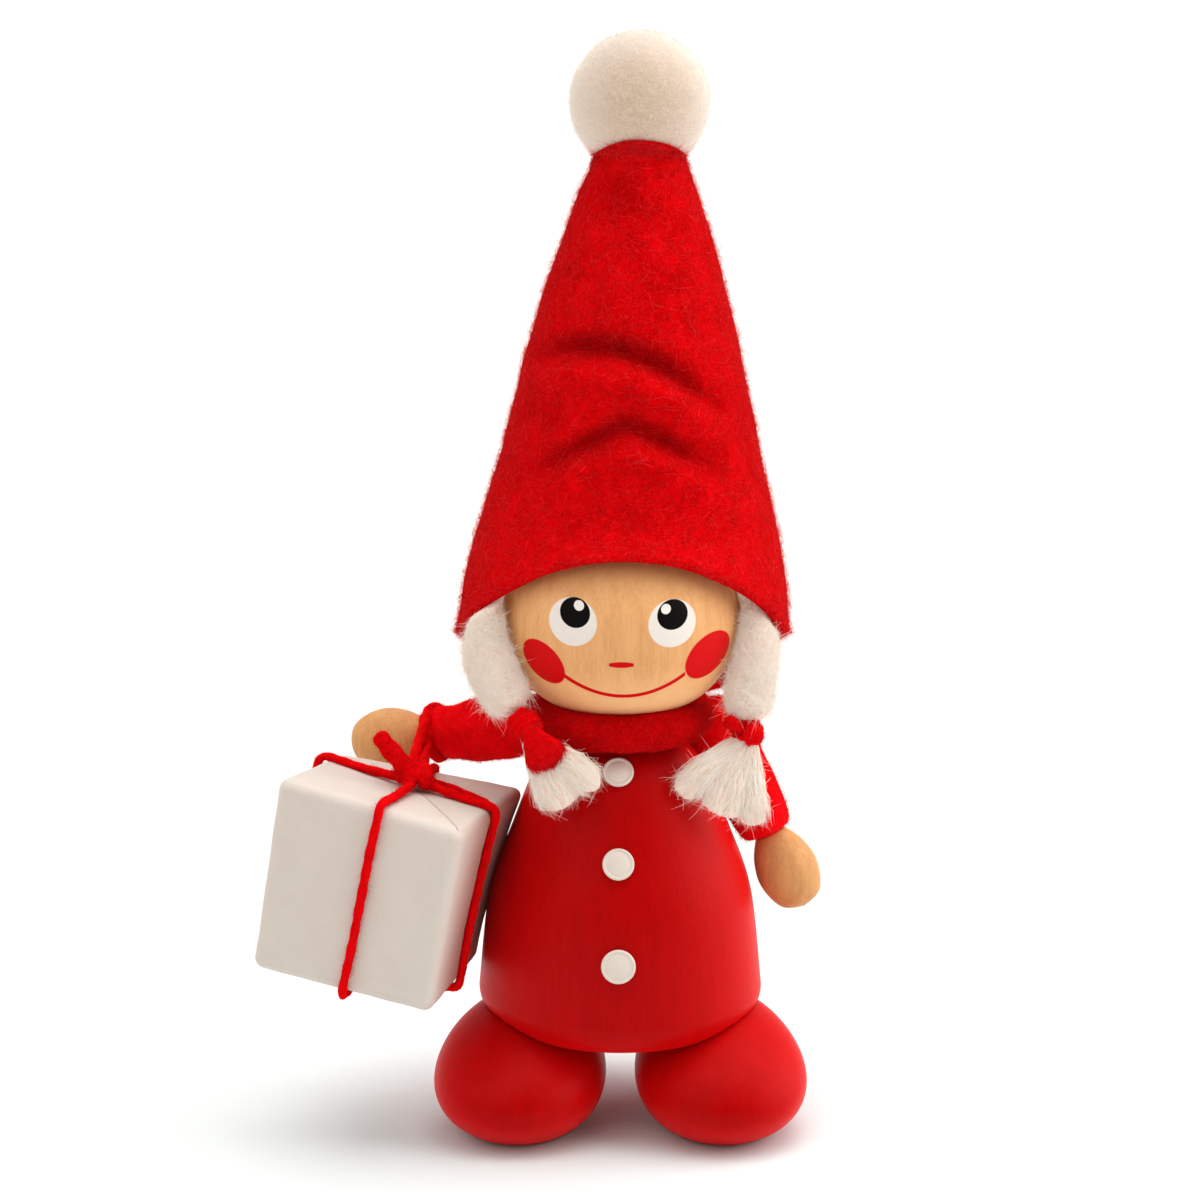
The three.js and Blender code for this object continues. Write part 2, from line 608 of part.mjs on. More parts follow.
// The cavity runs on past the brim so that the cut leaves it open.
const HAT_CAVITY_TOP = 1 - HAT_TIP_FELT / HAT_HEIGHT;
const WADDING_TOP = HAT_CAVITY_TOP - WADDING_HEADROOM / HAT_HEIGHT;
const brimAxis = new THREE.Vector3(0, Math.sin(rad(HAT_BRIM_TILT)), Math.cos(rad(HAT_BRIM_TILT)));
const cavityRings = hatLoft(0, HAT_CAVITY_TOP, 9, HAT_WALL, false);
const belowBrim = cavityRings[0].map((p) => p.clone().addScaledVector(brimAxis, -HAT_WALL));
const threadTop = pomMiddle.clone().addScaledVector(UP, -POMPOM_RADIUS / 2);
const threadFoot = threadTop.clone().addScaledVector(UP, -THREAD_LENGTH);
const threadHole = bar(threadFoot, threadTop, THREAD_RADIUS + GAP, YARN_SIDES);
const hat = cut(
  loft(hatLoft(0, 1, HAT_STEPS, 0, true)),
  loft([belowBrim, ...cavityRings]), pomSphere(GAP), threadHole,
);
figure.add(piece("hat_cone", hat, redFelt));

// Pompom: a felt ball sewn to the tip by a knotted thread

figure.add(piece("pompom", cut(pomSphere(0), threadHole), whiteFelt));
const threadEnd = threadTop.clone().addScaledVector(UP, -GAP);
const knotHalf = [THREAD_KNOT_RADIUS, THREAD_KNOT_RADIUS, THREAD_KNOT_RADIUS];
const threadKnot = ellipsoid(...knotHalf, threadFoot, YARN_SIDES);
const thread = solid(bar(threadFoot, threadEnd, THREAD_RADIUS, YARN_SIDES)).add(solid(threadKnot));
figure.add(piece("pompom_thread", geometryOf(thread), whiteWool));

// Hair: a wool band over the head under the hat, with a pigtail hanging at each end

const BAND_END_ANGLE = 14; // degrees above level, where the band ends and the pigtails begin
function bandPath(standOff) {
  const points = [];
  for (let angle = BAND_END_ANGLE; angle <= 180 - BAND_END_ANGLE; angle += 15.2) {
    const rise = Math.sin(rad(angle));
    const forward = -0.2 * (1 - rise);
    points.push(aboveHead(new THREE.Vector3(-Math.cos(rad(angle)), forward, rise).normalize(), standOff));
  }
  return new THREE.CatmullRomCurve3(points);
}
const bandCurve = bandPath(HAIR_BAND_HALF_THICKNESS + GAP);
const bandSweep = (grow) =>
  sweep(
    bandCurve, BACK, () => HAIR_BAND_HALF_WIDTH + grow, () => HAIR_BAND_HALF_THICKNESS + grow, 14, 10,
  );
figure.add(piece("hair_band", cut(bandSweep(0), headGrown), whiteWool));

// Wadding: fills the hat above the head and keeps it standing
const fill = cut(
  loft(hatLoft(0.3, WADDING_TOP, 7, HAT_WALL + WADDING_CLEARANCE, false)),
  turned(headOutside(WADDING_CLEARANCE)), bandSweep(WADDING_CLEARANCE),
);
figure.add(piece("hat_wadding", fill, wadding));

// A pigtail's path: points given by turn from the side towards the front, height from the head's middle and
// how far the middle of the wool lies off the head or the collar, whichever is further out.
function pigtailPath({ sideSign, turns, rises, offsets }) {
  return new THREE.CatmullRomCurve3(
    turns.map((turn, i) => {
      const height = HEAD_MIDDLE + rises[i];
      const reach = Math.max(headRadiusAt(height), COLLAR_OUTER) + PIGTAIL_OFF_HEAD + offsets[i];
      return new THREE.Vector3(
        sideSign * reach * Math.cos(rad(turn)), -reach * Math.sin(rad(turn)), height,
      );
    }),
  );
}

// A wool tail with rounded ends: a pigtail, or the loose tassel below its tie.
function woolTail(curve, side, wide, thick) {
  const close = (t) => Math.sqrt(Math.max(0.02, 1 - (2 * t - 1) ** 10));
  return sweep(curve, side, (t) => wide(t) * close(t), (t) => thick(t) * close(t), 12, 12);
}

// A ring of yarn tied round the wool.
function yarnRing(middle, axis, radius) {
  return new THREE.TorusGeometry(radius, YARN_RADIUS, YARN_SIDES, 20)
    .applyQuaternion(new THREE.Quaternion().setFromUnitVectors(UP, axis))
    .translate(middle.x, middle.y, middle.z);
}

function addPigtail(name, pigtailShape, tassel) {
  const path = pigtailPath(pigtailShape);
  const tie = path.getPointAt(1);
  const downward = path.getTangentAt(1);
  const side = new THREE.Vector3(pigtailShape.sideSign * 0.5, 0.85, 0);
  const wide = taper(...PIGTAIL_HALF_WIDTHS, TIE_NECK_RADIUS);
  const thick = taper(...PIGTAIL_HALF_THICKNESSES, TIE_NECK_RADIUS);
  const pigtail = woolTail(path, side, wide, thick);
  figure.add(piece(`pigtail_${name}`, pigtail, whiteWool));
  const ring = yarnRing(tie, downward, TIE_NECK_RADIUS + YARN_RADIUS + GAP);
  figure.add(piece(`pigtail_tie_${name}`, ring, redYarn));

  const tasselStart = tie.clone().addScaledVector(downward, GAP);
  const fan = new THREE.QuadraticBezierCurve3(
    tasselStart,
    tasselStart.clone().addScaledVector(downward, TASSEL_BEND),
    tie.clone().add(new THREE.Vector3(...tassel.reach)),
  );
  const fanWide = taper(TIE_NECK_RADIUS, tassel.halfWidth * 0.55, tassel.halfWidth, tassel.halfWidth);
  const fanThick = taper(
    TIE_NECK_RADIUS, TASSEL_HALF_THICKNESS, TASSEL_HALF_THICKNESS, TASSEL_TIP_HALF_THICKNESS,
  );
  const spread = woolTail(fan, tassel.side, fanWide, fanThick);
  figure.add(piece(`pigtail_tassel_${name}`, spread, whiteWool));
  const bow = ellipsoid(...tassel.bowHalfSize, tie.clone().add(new THREE.Vector3(...tassel.bowPlace)));
  figure.add(piece(`pigtail_bow_${name}`, bow, redYarn));
}

addPigtail(
  "right",
  { sideSign: -1, turns: RIGHT_PIGTAIL_TURNS, rises: RIGHT_PIGTAIL_RISES, offsets: RIGHT_PIGTAIL_OFFSETS },
  {
    reach: RIGHT_TASSEL_REACH,
    side: new THREE.Vector3(0.92, 0, 0.38),
    halfWidth: RIGHT_TASSEL_HALF_WIDTH,
    bowPlace: RIGHT_BOW_PLACE,
    bowHalfSize: RIGHT_BOW_HALF_SIZE,
  },
);
addPigtail(
  "left",
  { sideSign: 1, turns: LEFT_PIGTAIL_TURNS, rises: LEFT_PIGTAIL_RISES, offsets: LEFT_PIGTAIL_OFFSETS },
  {
    reach: LEFT_TASSEL_REACH,
    side: new THREE.Vector3(0.93, 0.2, -0.3),
    halfWidth: LEFT_TASSEL_HALF_WIDTH,
    bowPlace: LEFT_BOW_PLACE,
    bowHalfSize: LEFT_BOW_HALF_SIZE,
  },
);

// Gift: a block in folded paper, tied with yarn both ways and hung from the right wrist

const half = GIFT_SIZE / 2;
const wrist = rightArm.at(RIGHT_SLEEVE_LENGTH - 2 * YARN_RADIUS);
const giftMiddle = wrist.z - GIFT_DROP - half;
const gift = new THREE.Group();
gift.rotation.order = "YZX";
gift.rotation.set(0, rad(GIFT_ROLL), rad(GIFT_YAW));
// The gift's leaning side just clears the body's outline, straight beside the figure's middle.
const giftSide = ACROSS.clone().applyEuler(gift.rotation);
const sideReach = (height) =>
  (half - giftSide.y * GIFT_FORWARD - giftSide.z * (height - giftMiddle)) / giftSide.x;
const bodyReach = Math.max(...bodyOutside().map(([radius, height]) => radius + sideReach(height)));
gift.position.set(-bodyReach - GIFT_BODY_CLEARANCE, -GIFT_FORWARD, giftMiddle);
gift.updateMatrix();
figure.add(gift);

// A box with round upright corners and softened ends, standing on z = 0.
function softBox(size, height, corner, edge) {
  const reach = size / 2 - edge;
  const shape = new THREE.Shape();
  shape.absarc(reach - corner, reach - corner, corner, 0, Math.PI / 2);
  shape.absarc(-reach + corner, reach - corner, corner, Math.PI / 2, Math.PI);
  shape.absarc(-reach + corner, -reach + corner, corner, Math.PI, 1.5 * Math.PI);
  shape.absarc(reach - corner, -reach + corner, corner, 1.5 * Math.PI, 2 * Math.PI);
  shape.closePath();
  return new THREE.ExtrudeGeometry(shape, {
    depth: height - 2 * edge, curveSegments: 3,
    bevelEnabled: true, bevelSize: edge, bevelThickness: edge, bevelSegments: 2,
  }).translate(0, 0, edge);
}

const blockSize = GIFT_SIZE - 2 * (PAPER + GAP);
const block = softBox(blockSize, blockSize, GIFT_CORNER_ROUNDING, GIFT_EDGE_ROUNDING);
block.translate(0, 0, -blockSize / 2);
gift.add(piece("gift_block", block, bareWood));
const wrapBlank = softBox(GIFT_SIZE, GIFT_SIZE - PAPER - GAP, GIFT_CORNER_ROUNDING, GIFT_EDGE_ROUNDING);
wrapBlank.translate(0, 0, -half + PAPER + GAP);
const cavityDepth = GIFT_SIZE;
const wrapCavity = softBox(GIFT_SIZE - 2 * PAPER, cavityDepth, GIFT_CORNER_ROUNDING, GIFT_EDGE_ROUNDING);
wrapCavity.translate(0, 0, half - PAPER - cavityDepth);
gift.add(piece("gift_wrap", cut(wrapBlank, wrapCavity), wrapPaper));
const flapSize = GIFT_SIZE - 2 * GIFT_EDGE_ROUNDING;
const baseFlap = new THREE.BoxGeometry(flapSize, flapSize, PAPER).translate(0, 0, -half + PAPER / 2);
gift.add(piece("gift_wrap_base", baseFlap, wrapPaper));

// A band of yarn round the gift, open where the knot sits on top; dip lets one band pass under the other.
function yarnBand(across, dip) {
  const reach = half + YARN_RADIUS + GAP;
  const corner = GIFT_CORNER_ROUNDING;
  const start = KNOT_HALF_SIZE[0] + GAP;
  const line = [
    [start, reach], [reach - 3 * corner, reach], [reach - corner / 3, reach - corner / 3],
    [reach, reach - 3 * corner], [reach, 0], [reach, 3 * corner - reach],
    [reach - corner / 3, corner / 3 - reach], [reach - 3 * corner, -reach],
    [start, -reach - dip], [0, -reach - dip],
  ];
  const mirrored = line.slice(0, -1).reverse().map(([u, v]) => [-u, v]);
  const place = ([u, v]) => across.clone().multiplyScalar(u).addScaledVector(UP, v);
  const points = [...line, ...mirrored].map(place);
  const curve = new THREE.CatmullRomCurve3(points, false, "centripetal");
  const round = () => YARN_RADIUS;
  return sweep(curve, across.clone().cross(UP), round, round, 36, YARN_SIDES);
}
gift.add(piece("gift_yarn_front", yarnBand(BACK, 0), redYarn));
gift.add(piece("gift_yarn_side", yarnBand(ACROSS, 2 * YARN_RADIUS + GAP), redYarn));

const knotMiddle = new THREE.Vector3(0, 0, half + GAP + KNOT_HALF_SIZE[2]);
gift.add(piece("gift_knot", ellipsoid(...KNOT_HALF_SIZE, knotMiddle), redYarn));

// The bow's free tails stand up from the knot.
function bowTail(name, ...stops) {
  const [from, bend, to] = stops.map((stop) => new THREE.Vector3(...stop).add(knotMiddle));
  const curve = new THREE.QuadraticBezierCurve3(from, bend, to);
  const round = taper(YARN_RADIUS, YARN_RADIUS, YARN_RADIUS * 1.25, YARN_RADIUS);
  const side = ACROSS.clone().add(BACK).normalize();
  gift.add(piece(name, sweep(curve, side, round, round, 8, YARN_SIDES), redYarn));
}
bowTail("gift_bow_tail_long", ...LONG_TAIL_STOPS);
bowTail("gift_bow_tail_short", ...SHORT_TAIL_STOPS);

// Hanging loop: yarn from the knot round the wrist and back to the knot
const loopRadius = SLEEVE_RADIUS + YARN_RADIUS + GAP;
const knotTop = new THREE.Vector3(LOOP_ASIDE, LOOP_BACK, KNOT_HALF_SIZE[2] + YARN_RADIUS + GAP);
knotTop.add(knotMiddle).applyMatrix4(gift.matrix);
const towardsKnot = knotTop.clone().addScaledVector(UP, LOOP_RISE).sub(wrist);
towardsKnot.addScaledVector(rightArm.direction, -towardsKnot.dot(rightArm.direction)).normalize();
const roundWrist = rightArm.direction.clone().cross(towardsKnot);
const LOOP_START = 50; // degrees above the way to the knot
const LOOP_END = 350;
const loopPoints = [];
for (let angle = LOOP_START; angle <= LOOP_END; angle += 25) {
  loopPoints.push(
    wrist
      .clone()
      .addScaledVector(towardsKnot, loopRadius * Math.cos(rad(angle)))
      .addScaledVector(roundWrist, loopRadius * Math.sin(rad(angle))),
  );
}
const legGap = rightArm.direction.clone().multiplyScalar(YARN_RADIUS + GAP);
const loopCurve = new THREE.CatmullRomCurve3([
  knotTop.clone().add(legGap), ...loopPoints, knotTop.clone().sub(legGap),
], false, "centripetal");
const loopRound = () => YARN_RADIUS;
const loop = sweep(loopCurve, rightArm.direction, loopRound, loopRound, 36, YARN_SIDES);
figure.add(piece("gift_hanging_loop", loop, redYarn));

// The part's origin is on the floor, under the middle of everything
const extent = new THREE.Box3().setFromObject(figure, true);
const middle = extent.getCenter(new THREE.Vector3());
figure.position.set(-middle.x, -middle.y, -extent.min.z);

const part = new THREE.Group();
part.add(figure);
export default part;
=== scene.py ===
import json
from functools import partial

import bpy
import numpy as np
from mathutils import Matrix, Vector


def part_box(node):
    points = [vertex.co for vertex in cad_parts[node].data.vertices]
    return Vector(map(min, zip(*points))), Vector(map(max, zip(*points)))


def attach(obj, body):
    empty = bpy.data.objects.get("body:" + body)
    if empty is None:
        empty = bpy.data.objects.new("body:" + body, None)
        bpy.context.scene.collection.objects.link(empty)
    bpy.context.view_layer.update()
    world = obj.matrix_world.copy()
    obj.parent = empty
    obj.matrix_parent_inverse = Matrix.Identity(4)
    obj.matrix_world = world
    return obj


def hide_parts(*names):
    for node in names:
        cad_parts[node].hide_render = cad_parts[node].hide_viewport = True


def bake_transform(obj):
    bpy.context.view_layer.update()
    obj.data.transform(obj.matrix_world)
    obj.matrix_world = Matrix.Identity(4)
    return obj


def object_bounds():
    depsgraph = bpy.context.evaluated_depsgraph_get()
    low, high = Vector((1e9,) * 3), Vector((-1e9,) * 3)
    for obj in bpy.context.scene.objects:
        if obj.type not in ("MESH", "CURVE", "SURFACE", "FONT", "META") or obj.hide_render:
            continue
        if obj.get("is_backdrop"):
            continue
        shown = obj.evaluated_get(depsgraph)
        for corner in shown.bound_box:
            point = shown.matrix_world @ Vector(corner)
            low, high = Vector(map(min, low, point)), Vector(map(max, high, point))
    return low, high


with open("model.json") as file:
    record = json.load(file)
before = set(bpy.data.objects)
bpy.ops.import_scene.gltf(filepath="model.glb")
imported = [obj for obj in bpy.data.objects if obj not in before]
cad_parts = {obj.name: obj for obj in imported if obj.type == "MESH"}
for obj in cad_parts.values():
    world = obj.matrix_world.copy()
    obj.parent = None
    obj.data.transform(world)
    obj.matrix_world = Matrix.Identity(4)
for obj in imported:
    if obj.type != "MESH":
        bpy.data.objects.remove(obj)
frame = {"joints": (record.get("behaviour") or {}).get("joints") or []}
cad_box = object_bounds()

# Body: a bell turned from one block of wood, with a short neck for the head and hollows for the feet. It
# is sealed and sprayed satin red; the grain and the turning marks still show faintly through the paint.

MM = 0.001
GAP = 0.3
BODY_BOTTOM, BODY_TOP = 14.7, 61.9
BODY_BASE_RADIUS, BODY_EDGE_ROUNDING, NECK_RADIUS = 21.7, 5.0, 7.0
FOOT_LENGTH, FOOT_WIDTH, FOOT_THICKNESS = 34.0, 25.8, 20.6
FOOT_MIDDLE, FOOT_SPREAD, FOOT_FORWARD, FOOT_SPLAY = 8.3, 15.0, 7.4, np.radians(8)
FOOT_TOE_FULLNESS, FOOT_PITCH, FAR_BELOW = 0.1, 0.18, -99
# Columns of points round the largest turned pieces, and rows of the body that the feet may hollow.
TURNED_COLUMNS, HOLLOW_ROWS = 176, 60
PAINT_RED, PAINT_DEEP_RED = (0.46, 0.0005, 0.0008, 1), (0.40, 0.0003, 0.0006, 1)
# Painted sheen: a brighter red, and the share of it mixed in where the paint is seen from the side.
PAINTED_SHEEN_RED, PAINTED_SHEEN_SHARE = (0.95, 0.004, 0.005, 1), 0.7
GRAIN_FINENESS = 2600
FIGURE_AXIS = np.mean(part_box("body_bell"), axis=0) * (1, 1, 0)


def spline(stops, share):
    """Catmull-Rom: a smooth run of values through evenly spaced stops, at shares 0 to 1 of the way
    along."""
    stops = np.asarray(stops, float)
    last = len(stops) - 1
    place = np.clip(share, 0, 1) * last
    at = np.minimum(place.astype(int), last - 1)
    rest = (place - at).reshape(place.shape + (1,) * (stops.ndim - 1))
    before, start, end, after = (stops[np.clip(at + i, 0, last)] for i in (-1, 0, 1, 2))
    leave, arrive = (end - before) / 2, (after - start) / 2
    bend = 2 * (start - end) + leave + arrive
    return ((bend * rest + 3 * (end - start) - 2 * leave - arrive) * rest + leave) * rest + start


def mesh_piece(name, points, groups, worn, shade=None):
    """A mesh object from points in millimetres from the figure's axis. Each group is an array of faces,
    one row of corner numbers a face, with the corners' places on the UV map. Faces are turned over if they
    enclose a negative volume, the sum over triangles of a . (b x c). shade is one value a point. worn is a
    material, a body, the name of a finish and the solids that it stands for, which are hidden; the finish
    is not used. Where the body is two bodies and two points, the piece is not attached to a body."""
    fan = [rows[:, [0, i, i + 1]] for rows, _ in groups for i in range(1, rows.shape[1] - 1)]
    a, b, c = points[np.concatenate(fan).T]
    if np.einsum("ij,ij->", a, np.cross(b, c)) < 0:
        groups = [(rows[:, ::-1], places[:, ::-1]) for rows, places in groups]
    loops = np.concatenate([rows.ravel() for rows, _ in groups])
    sizes = np.concatenate([np.full(len(rows), rows.shape[1]) for rows, _ in groups])
    places = np.concatenate([places.ravel() for _, places in groups])
    mesh = bpy.data.meshes.new(name)
    mesh.vertices.add(len(points))
    mesh.vertices.foreach_set("co", (points * MM + FIGURE_AXIS).astype(np.float32).ravel())
    mesh.loops.add(len(loops))
    mesh.loops.foreach_set("vertex_index", loops.astype(np.int32))
    mesh.polygons.add(len(sizes))
    mesh.polygons.foreach_set("loop_start", (np.cumsum(sizes) - sizes).astype(np.int32))
    mesh.polygons.foreach_set("use_smooth", np.ones(len(sizes), bool))
    mesh.update(calc_edges=True)
    mesh.uv_layers.new(name="UVMap").data.foreach_set("uv", places.astype(np.float32))
    if shade is not None:
        mesh.attributes.new("shade", "FLOAT", "POINT").data.foreach_set("value", shade.astype(np.float32))
    mesh.validate()
    made = bpy.data.objects.new(name, mesh)
    bpy.context.scene.collection.objects.link(made)
    material, body, finish, *nodes = worn
    mesh.materials.append(material)
    if isinstance(body, str):
        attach(made, body)
    else:
        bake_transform(made)
    if nodes:
        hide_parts(*nodes)
    return made


def skin(name, rings, worn, closed=False, shade=None):
    """A smooth surface through rings, an array of rows x columns x 3. Columns close on themselves; rows do
    too where closed is set, and otherwise a fan to its middle closes each end row. shade is one value a
    ring point."""
    rows, columns = rings.shape[:2]
    spans = rows if closed else rows - 1
    row, column = (index.ravel() for index in np.mgrid[:spans, :columns])
    down = np.stack([row, row, row + 1, row + 1], 1)
    across = np.stack([column, column + 1, column + 1, column], 1)
    quads = down % rows * columns + across % columns
    groups = [(quads, np.stack([across / columns, down / spans], -1))]
    points = rings.reshape(-1, 3)
    if not closed:
        turn, middle = np.arange(columns), len(points)
        after, top = (turn + 1) % columns, middle - columns
        share = np.stack([turn + 0.5, turn + 1, turn], 1) / columns
        first = np.stack([0 * turn + middle, after, turn], 1)
        final = np.stack([0 * turn + middle + 1, top + turn, top + after], 1)
        groups.append((first, np.stack([share, share * 0], -1)))
        groups.append((final, np.stack([share[:, [0, 2, 1]], share * 0 + 1], -1)))
        points = np.concatenate([points, rings[[0, -1]].mean(axis=1)])
        if shade is not None:
            shade = np.concatenate([shade.ravel(), shade[[0, -1]].mean(axis=1)])
    return mesh_piece(name, points, groups, worn, shade)


def turned(outline, columns):
    """Rings of a turned shape: each (radius, height) of the outline carried round Z."""
    angle = np.arange(columns) * 2 * np.pi / columns
    radius, height = (np.asarray(outline, float)[:, i, None] for i in range(2))
    return np.stack([radius * np.cos(angle), radius * np.sin(angle), height + 0 * angle], -1)


class Signal:
    """What one shader node hands on to others. Sums written with it lay Math nodes in its own node
    tree."""

    def __init__(self, socket):
        self.socket = socket
        self.tree = socket.id_data

    def math(self, operation, *others):
        """One Math node on this signal and others, each a value or a signal."""
        return lay(self.tree, "Math", dict(enumerate((self, *others))), operation=operation)[0]

    def steps(self, low, high):
        """A value that eases from 0 at low to 1 at high."""
        return lay(self.tree, "MapRange", {0: self, 1: low, 2: high}, interpolation_type="SMOOTHSTEP")[0]

    def __add__(self, other):
        return self.math("ADD", other)

    def __sub__(self, other):
        return self.math("SUBTRACT", other)

    def __mul__(self, other):
        return self.math("MULTIPLY", other)

    def __truediv__(self, other):
        return self.math("DIVIDE", other)

    def __abs__(self):
        return self.math("ABSOLUTE")


def signals(node):
    """A node's outputs by number and by name."""
    return {key: Signal(socket) for i, socket in enumerate(node.outputs) for key in (i, socket.name)}


def lay(tree, kind, inputs=(), **settings):
    """Adds a shader node. Inputs are named or numbered, and each is a value or a signal."""
    made = tree.nodes.new("ShaderNode" + kind)
    for key, value in settings.items():
        setattr(made, key, value)
    for key, value in dict(inputs).items():
        if isinstance(value, Signal):
            tree.links.new(value.socket, made.inputs[key])
        else:
            made.inputs[key].default_value = value
    return signals(made)


def feed(node, **sockets):
    """Leads signals into a node's named inputs."""
    for key, signal in sockets.items():
        signal.tree.links.new(signal.socket, node.inputs[key.replace("_", " ")])


def finish_of(name, **sockets):
    """A material with its Principled shader, whose steady values are set on the shader's own sockets."""
    made = bpy.data.materials.new(name)
    made.use_nodes = True
    shader = made.node_tree.nodes["Principled BSDF"]
    for key, value in sockets.items():
        shader.inputs[key.replace("_", " ")].default_value = value
    return made, made.node_tree, shader


def effect(name, inputs, outputs):
    """An empty shader node group with named sockets; inputs and outputs map names to a socket type."""
    tree = bpy.data.node_groups.new(name, "ShaderNodeTree")
    for side, sockets in (("INPUT", inputs), ("OUTPUT", outputs)):
        for socket, kind in sockets.items():
            tree.interface.new_socket(socket, in_out=side, socket_type="NodeSocket" + kind)
    return tree, signals(tree.nodes.new("NodeGroupInput")), tree.nodes.new("NodeGroupOutput")


def mix(share, a, b, how="MIX"):
    """One colour Mix node from a to b."""
    return lay(share.tree, "Mix", {0: share, 6: a, 7: b}, data_type="RGBA", blend_type=how)[2]


def noise(place, scale=1.0, detail=2.0, roughness=0.5, distortion=0.0):
    """Cloudy values about a half."""
    inputs = {"Scale": scale, "Detail": detail, "Roughness": roughness, "Distortion": distortion}
    return lay(place.tree, "TexNoise", {"Vector": place, **inputs})["Fac"]


def bump(height, strength, distance):
    """A normal raised by a height."""
    return lay(height.tree, "Bump", {"Strength": strength, "Distance": distance, "Height": height})["Normal"]


def sideways(tree):
    """A value from 0 where a surface is seen straight on to 1 where it is seen along itself."""
    return lay(tree, "LayerWeight", {"Blend": 0.4})["Facing"]


def stretched(tree, *size, source="Object"):
    """Object or UV coordinates times one size, or one size for each axis."""
    place = lay(tree, "TexCoord")[source]
    return lay(tree, "Mapping", {"Vector": place, "Scale": (size * 3)[:3]})["Vector"]


def look_of(group, place, light, dark, **weights):
    """A node group of the looks below, set in a material."""
    inputs = {"Vector": place, "Light": light, "Dark": dark, **weights}
    return lay(place.tree, "Group", inputs, node_tree=group)


LOOK_INPUTS = {"Vector": "Vector", "Light": "Color", "Dark": "Color"}
LOOK_OUTPUTS = {"Colour": "Color", "Height": "Float"}

# Wood grain: long soft streaks, and short dark pores lying along them. The coordinates arrive stretched
# along the grain. Colour runs from Light to Dark; Height is for a bump.
wood_grain, given, put = effect("wood_grain", {**LOOK_INPUTS, "Pores": "Float"}, LOOK_OUTPUTS)
streaks, broad = noise(given["Vector"], 1.0, 5.0, 0.6), noise(given["Vector"], 0.22)
tone = (broad * 0.55 + streaks * 0.6).steps(0.38, 0.78)
speck = noise(given["Vector"], 3.4).steps(0.60, 0.70) * given["Pores"]
colour = mix(tone, given["Light"], given["Dark"])
feed(put, Colour=mix(speck, colour, given["Dark"], "MULTIPLY"), Height=streaks - speck)

red_paint, tree, shader = finish_of("red_painted_wood", Roughness=0.4, Specular_IOR_Level=0.06)
place = stretched(tree, GRAIN_FINENESS, GRAIN_FINENESS, 160)
grain = look_of(wood_grain, place, PAINT_RED, PAINT_DEEP_RED, Pores=0.15)
# Painted sheen: the red is painted brighter towards the sides, where the surface is seen along itself.
colour = mix(sideways(tree) * PAINTED_SHEEN_SHARE, grain["Colour"], PAINTED_SHEEN_RED)
feed(shader, Base_Color=colour, Normal=bump(grain["Height"], 0.5, 0.0001))

body_side = spline(
    [(BODY_BASE_RADIUS, BODY_BOTTOM + BODY_EDGE_ROUNDING), (20, BODY_BOTTOM + 20), (16.6, BODY_TOP - 17.2),
     (12.2, BODY_TOP - 6.7), (NECK_RADIUS, BODY_TOP - 1.8)],
    np.linspace(0, 1, 90),
)
quarter = np.linspace(-np.pi / 2, 0, 14)
body_flat = BODY_BASE_RADIUS - BODY_EDGE_ROUNDING
body_edge = np.stack([np.cos(quarter), np.sin(quarter)], 1) * BODY_EDGE_ROUNDING
body_edge += (body_flat, BODY_BOTTOM + BODY_EDGE_ROUNDING)
underside = np.stack([np.linspace(0.5, body_flat, 30), np.full(30, BODY_BOTTOM)], 1)
neck_top = [(NECK_RADIUS, BODY_TOP - 0.3), (NECK_RADIUS - 0.3, BODY_TOP), (1, BODY_TOP)]
body_rings = turned(np.concatenate([underside, body_edge[1:], body_side[1:], neck_top]), TURNED_COLUMNS)


def foot_top(points, side):
    """Height of a foot's egg over the points below or above it: the middle plus the half thickness times
    the root of one less the squares of the shares of the half length and half width, all scaled down
    towards the toe by the pitch. Far below where it misses."""
    x, y = points[..., 0] - side * FOOT_SPREAD, points[..., 1] + FOOT_FORWARD
    across = x * np.cos(FOOT_SPLAY) + side * y * np.sin(FOOT_SPLAY)
    along = (y * np.cos(FOOT_SPLAY) - side * x * np.sin(FOOT_SPLAY)) / (FOOT_LENGTH / 2)
    across = across / (FOOT_WIDTH / 2) / (1 - FOOT_TOE_FULLNESS * along)
    room = 1 - along ** 2 - across ** 2
    top = (FOOT_MIDDLE + FOOT_THICKNESS / 2 * np.sqrt(np.maximum(room, 0))) * (1 + FOOT_PITCH * along)
    return np.where(room > 0, top + GAP, FAR_BELOW)


lower = body_rings[:HOLLOW_ROWS]
for side in (-1, 1):
    lower[..., 2] = np.maximum(lower[..., 2], foot_top(lower, side))
skin("body", body_rings, (red_paint, "figure", "red_painted_wood", "body_bell"))

# Feet: two turned eggs laid on their sides, cut flat underneath, let into the body and pinned with dowels.
# They are painted with the same satin red as the body.


def egg(side):
    """A foot: a sphere's rings about the toe-to-heel axis, scaled to an egg, broader and lower at the toe.
    What lies under the floor is pressed flat into the sole, and the whole is turned out by the splay."""
    down, turn = np.meshgrid(np.linspace(0.02, np.pi - 0.02, 84), np.arange(128) * np.pi / 64, indexing="ij")
    along, out = -np.cos(down), np.sin(down)
    x = out * np.cos(turn) * (1 - FOOT_TOE_FULLNESS * along) * FOOT_WIDTH / 2
    y = along * FOOT_LENGTH / 2
    z = np.maximum(out * np.sin(turn) * FOOT_THICKNESS / 2 + FOOT_MIDDLE, 0) * (1 + FOOT_PITCH * along)
    outward = side * np.sin(FOOT_SPLAY)
    across = x * np.cos(FOOT_SPLAY) - y * outward + side * FOOT_SPREAD
    return np.stack([across, x * outward + y * np.cos(FOOT_SPLAY) - FOOT_FORWARD, z], -1)


for side, word in ((-1, "right"), (1, "left")):
    skin("foot_" + word + "_egg", egg(side), (red_paint, "figure", "red_painted_wood", "foot_" + word))

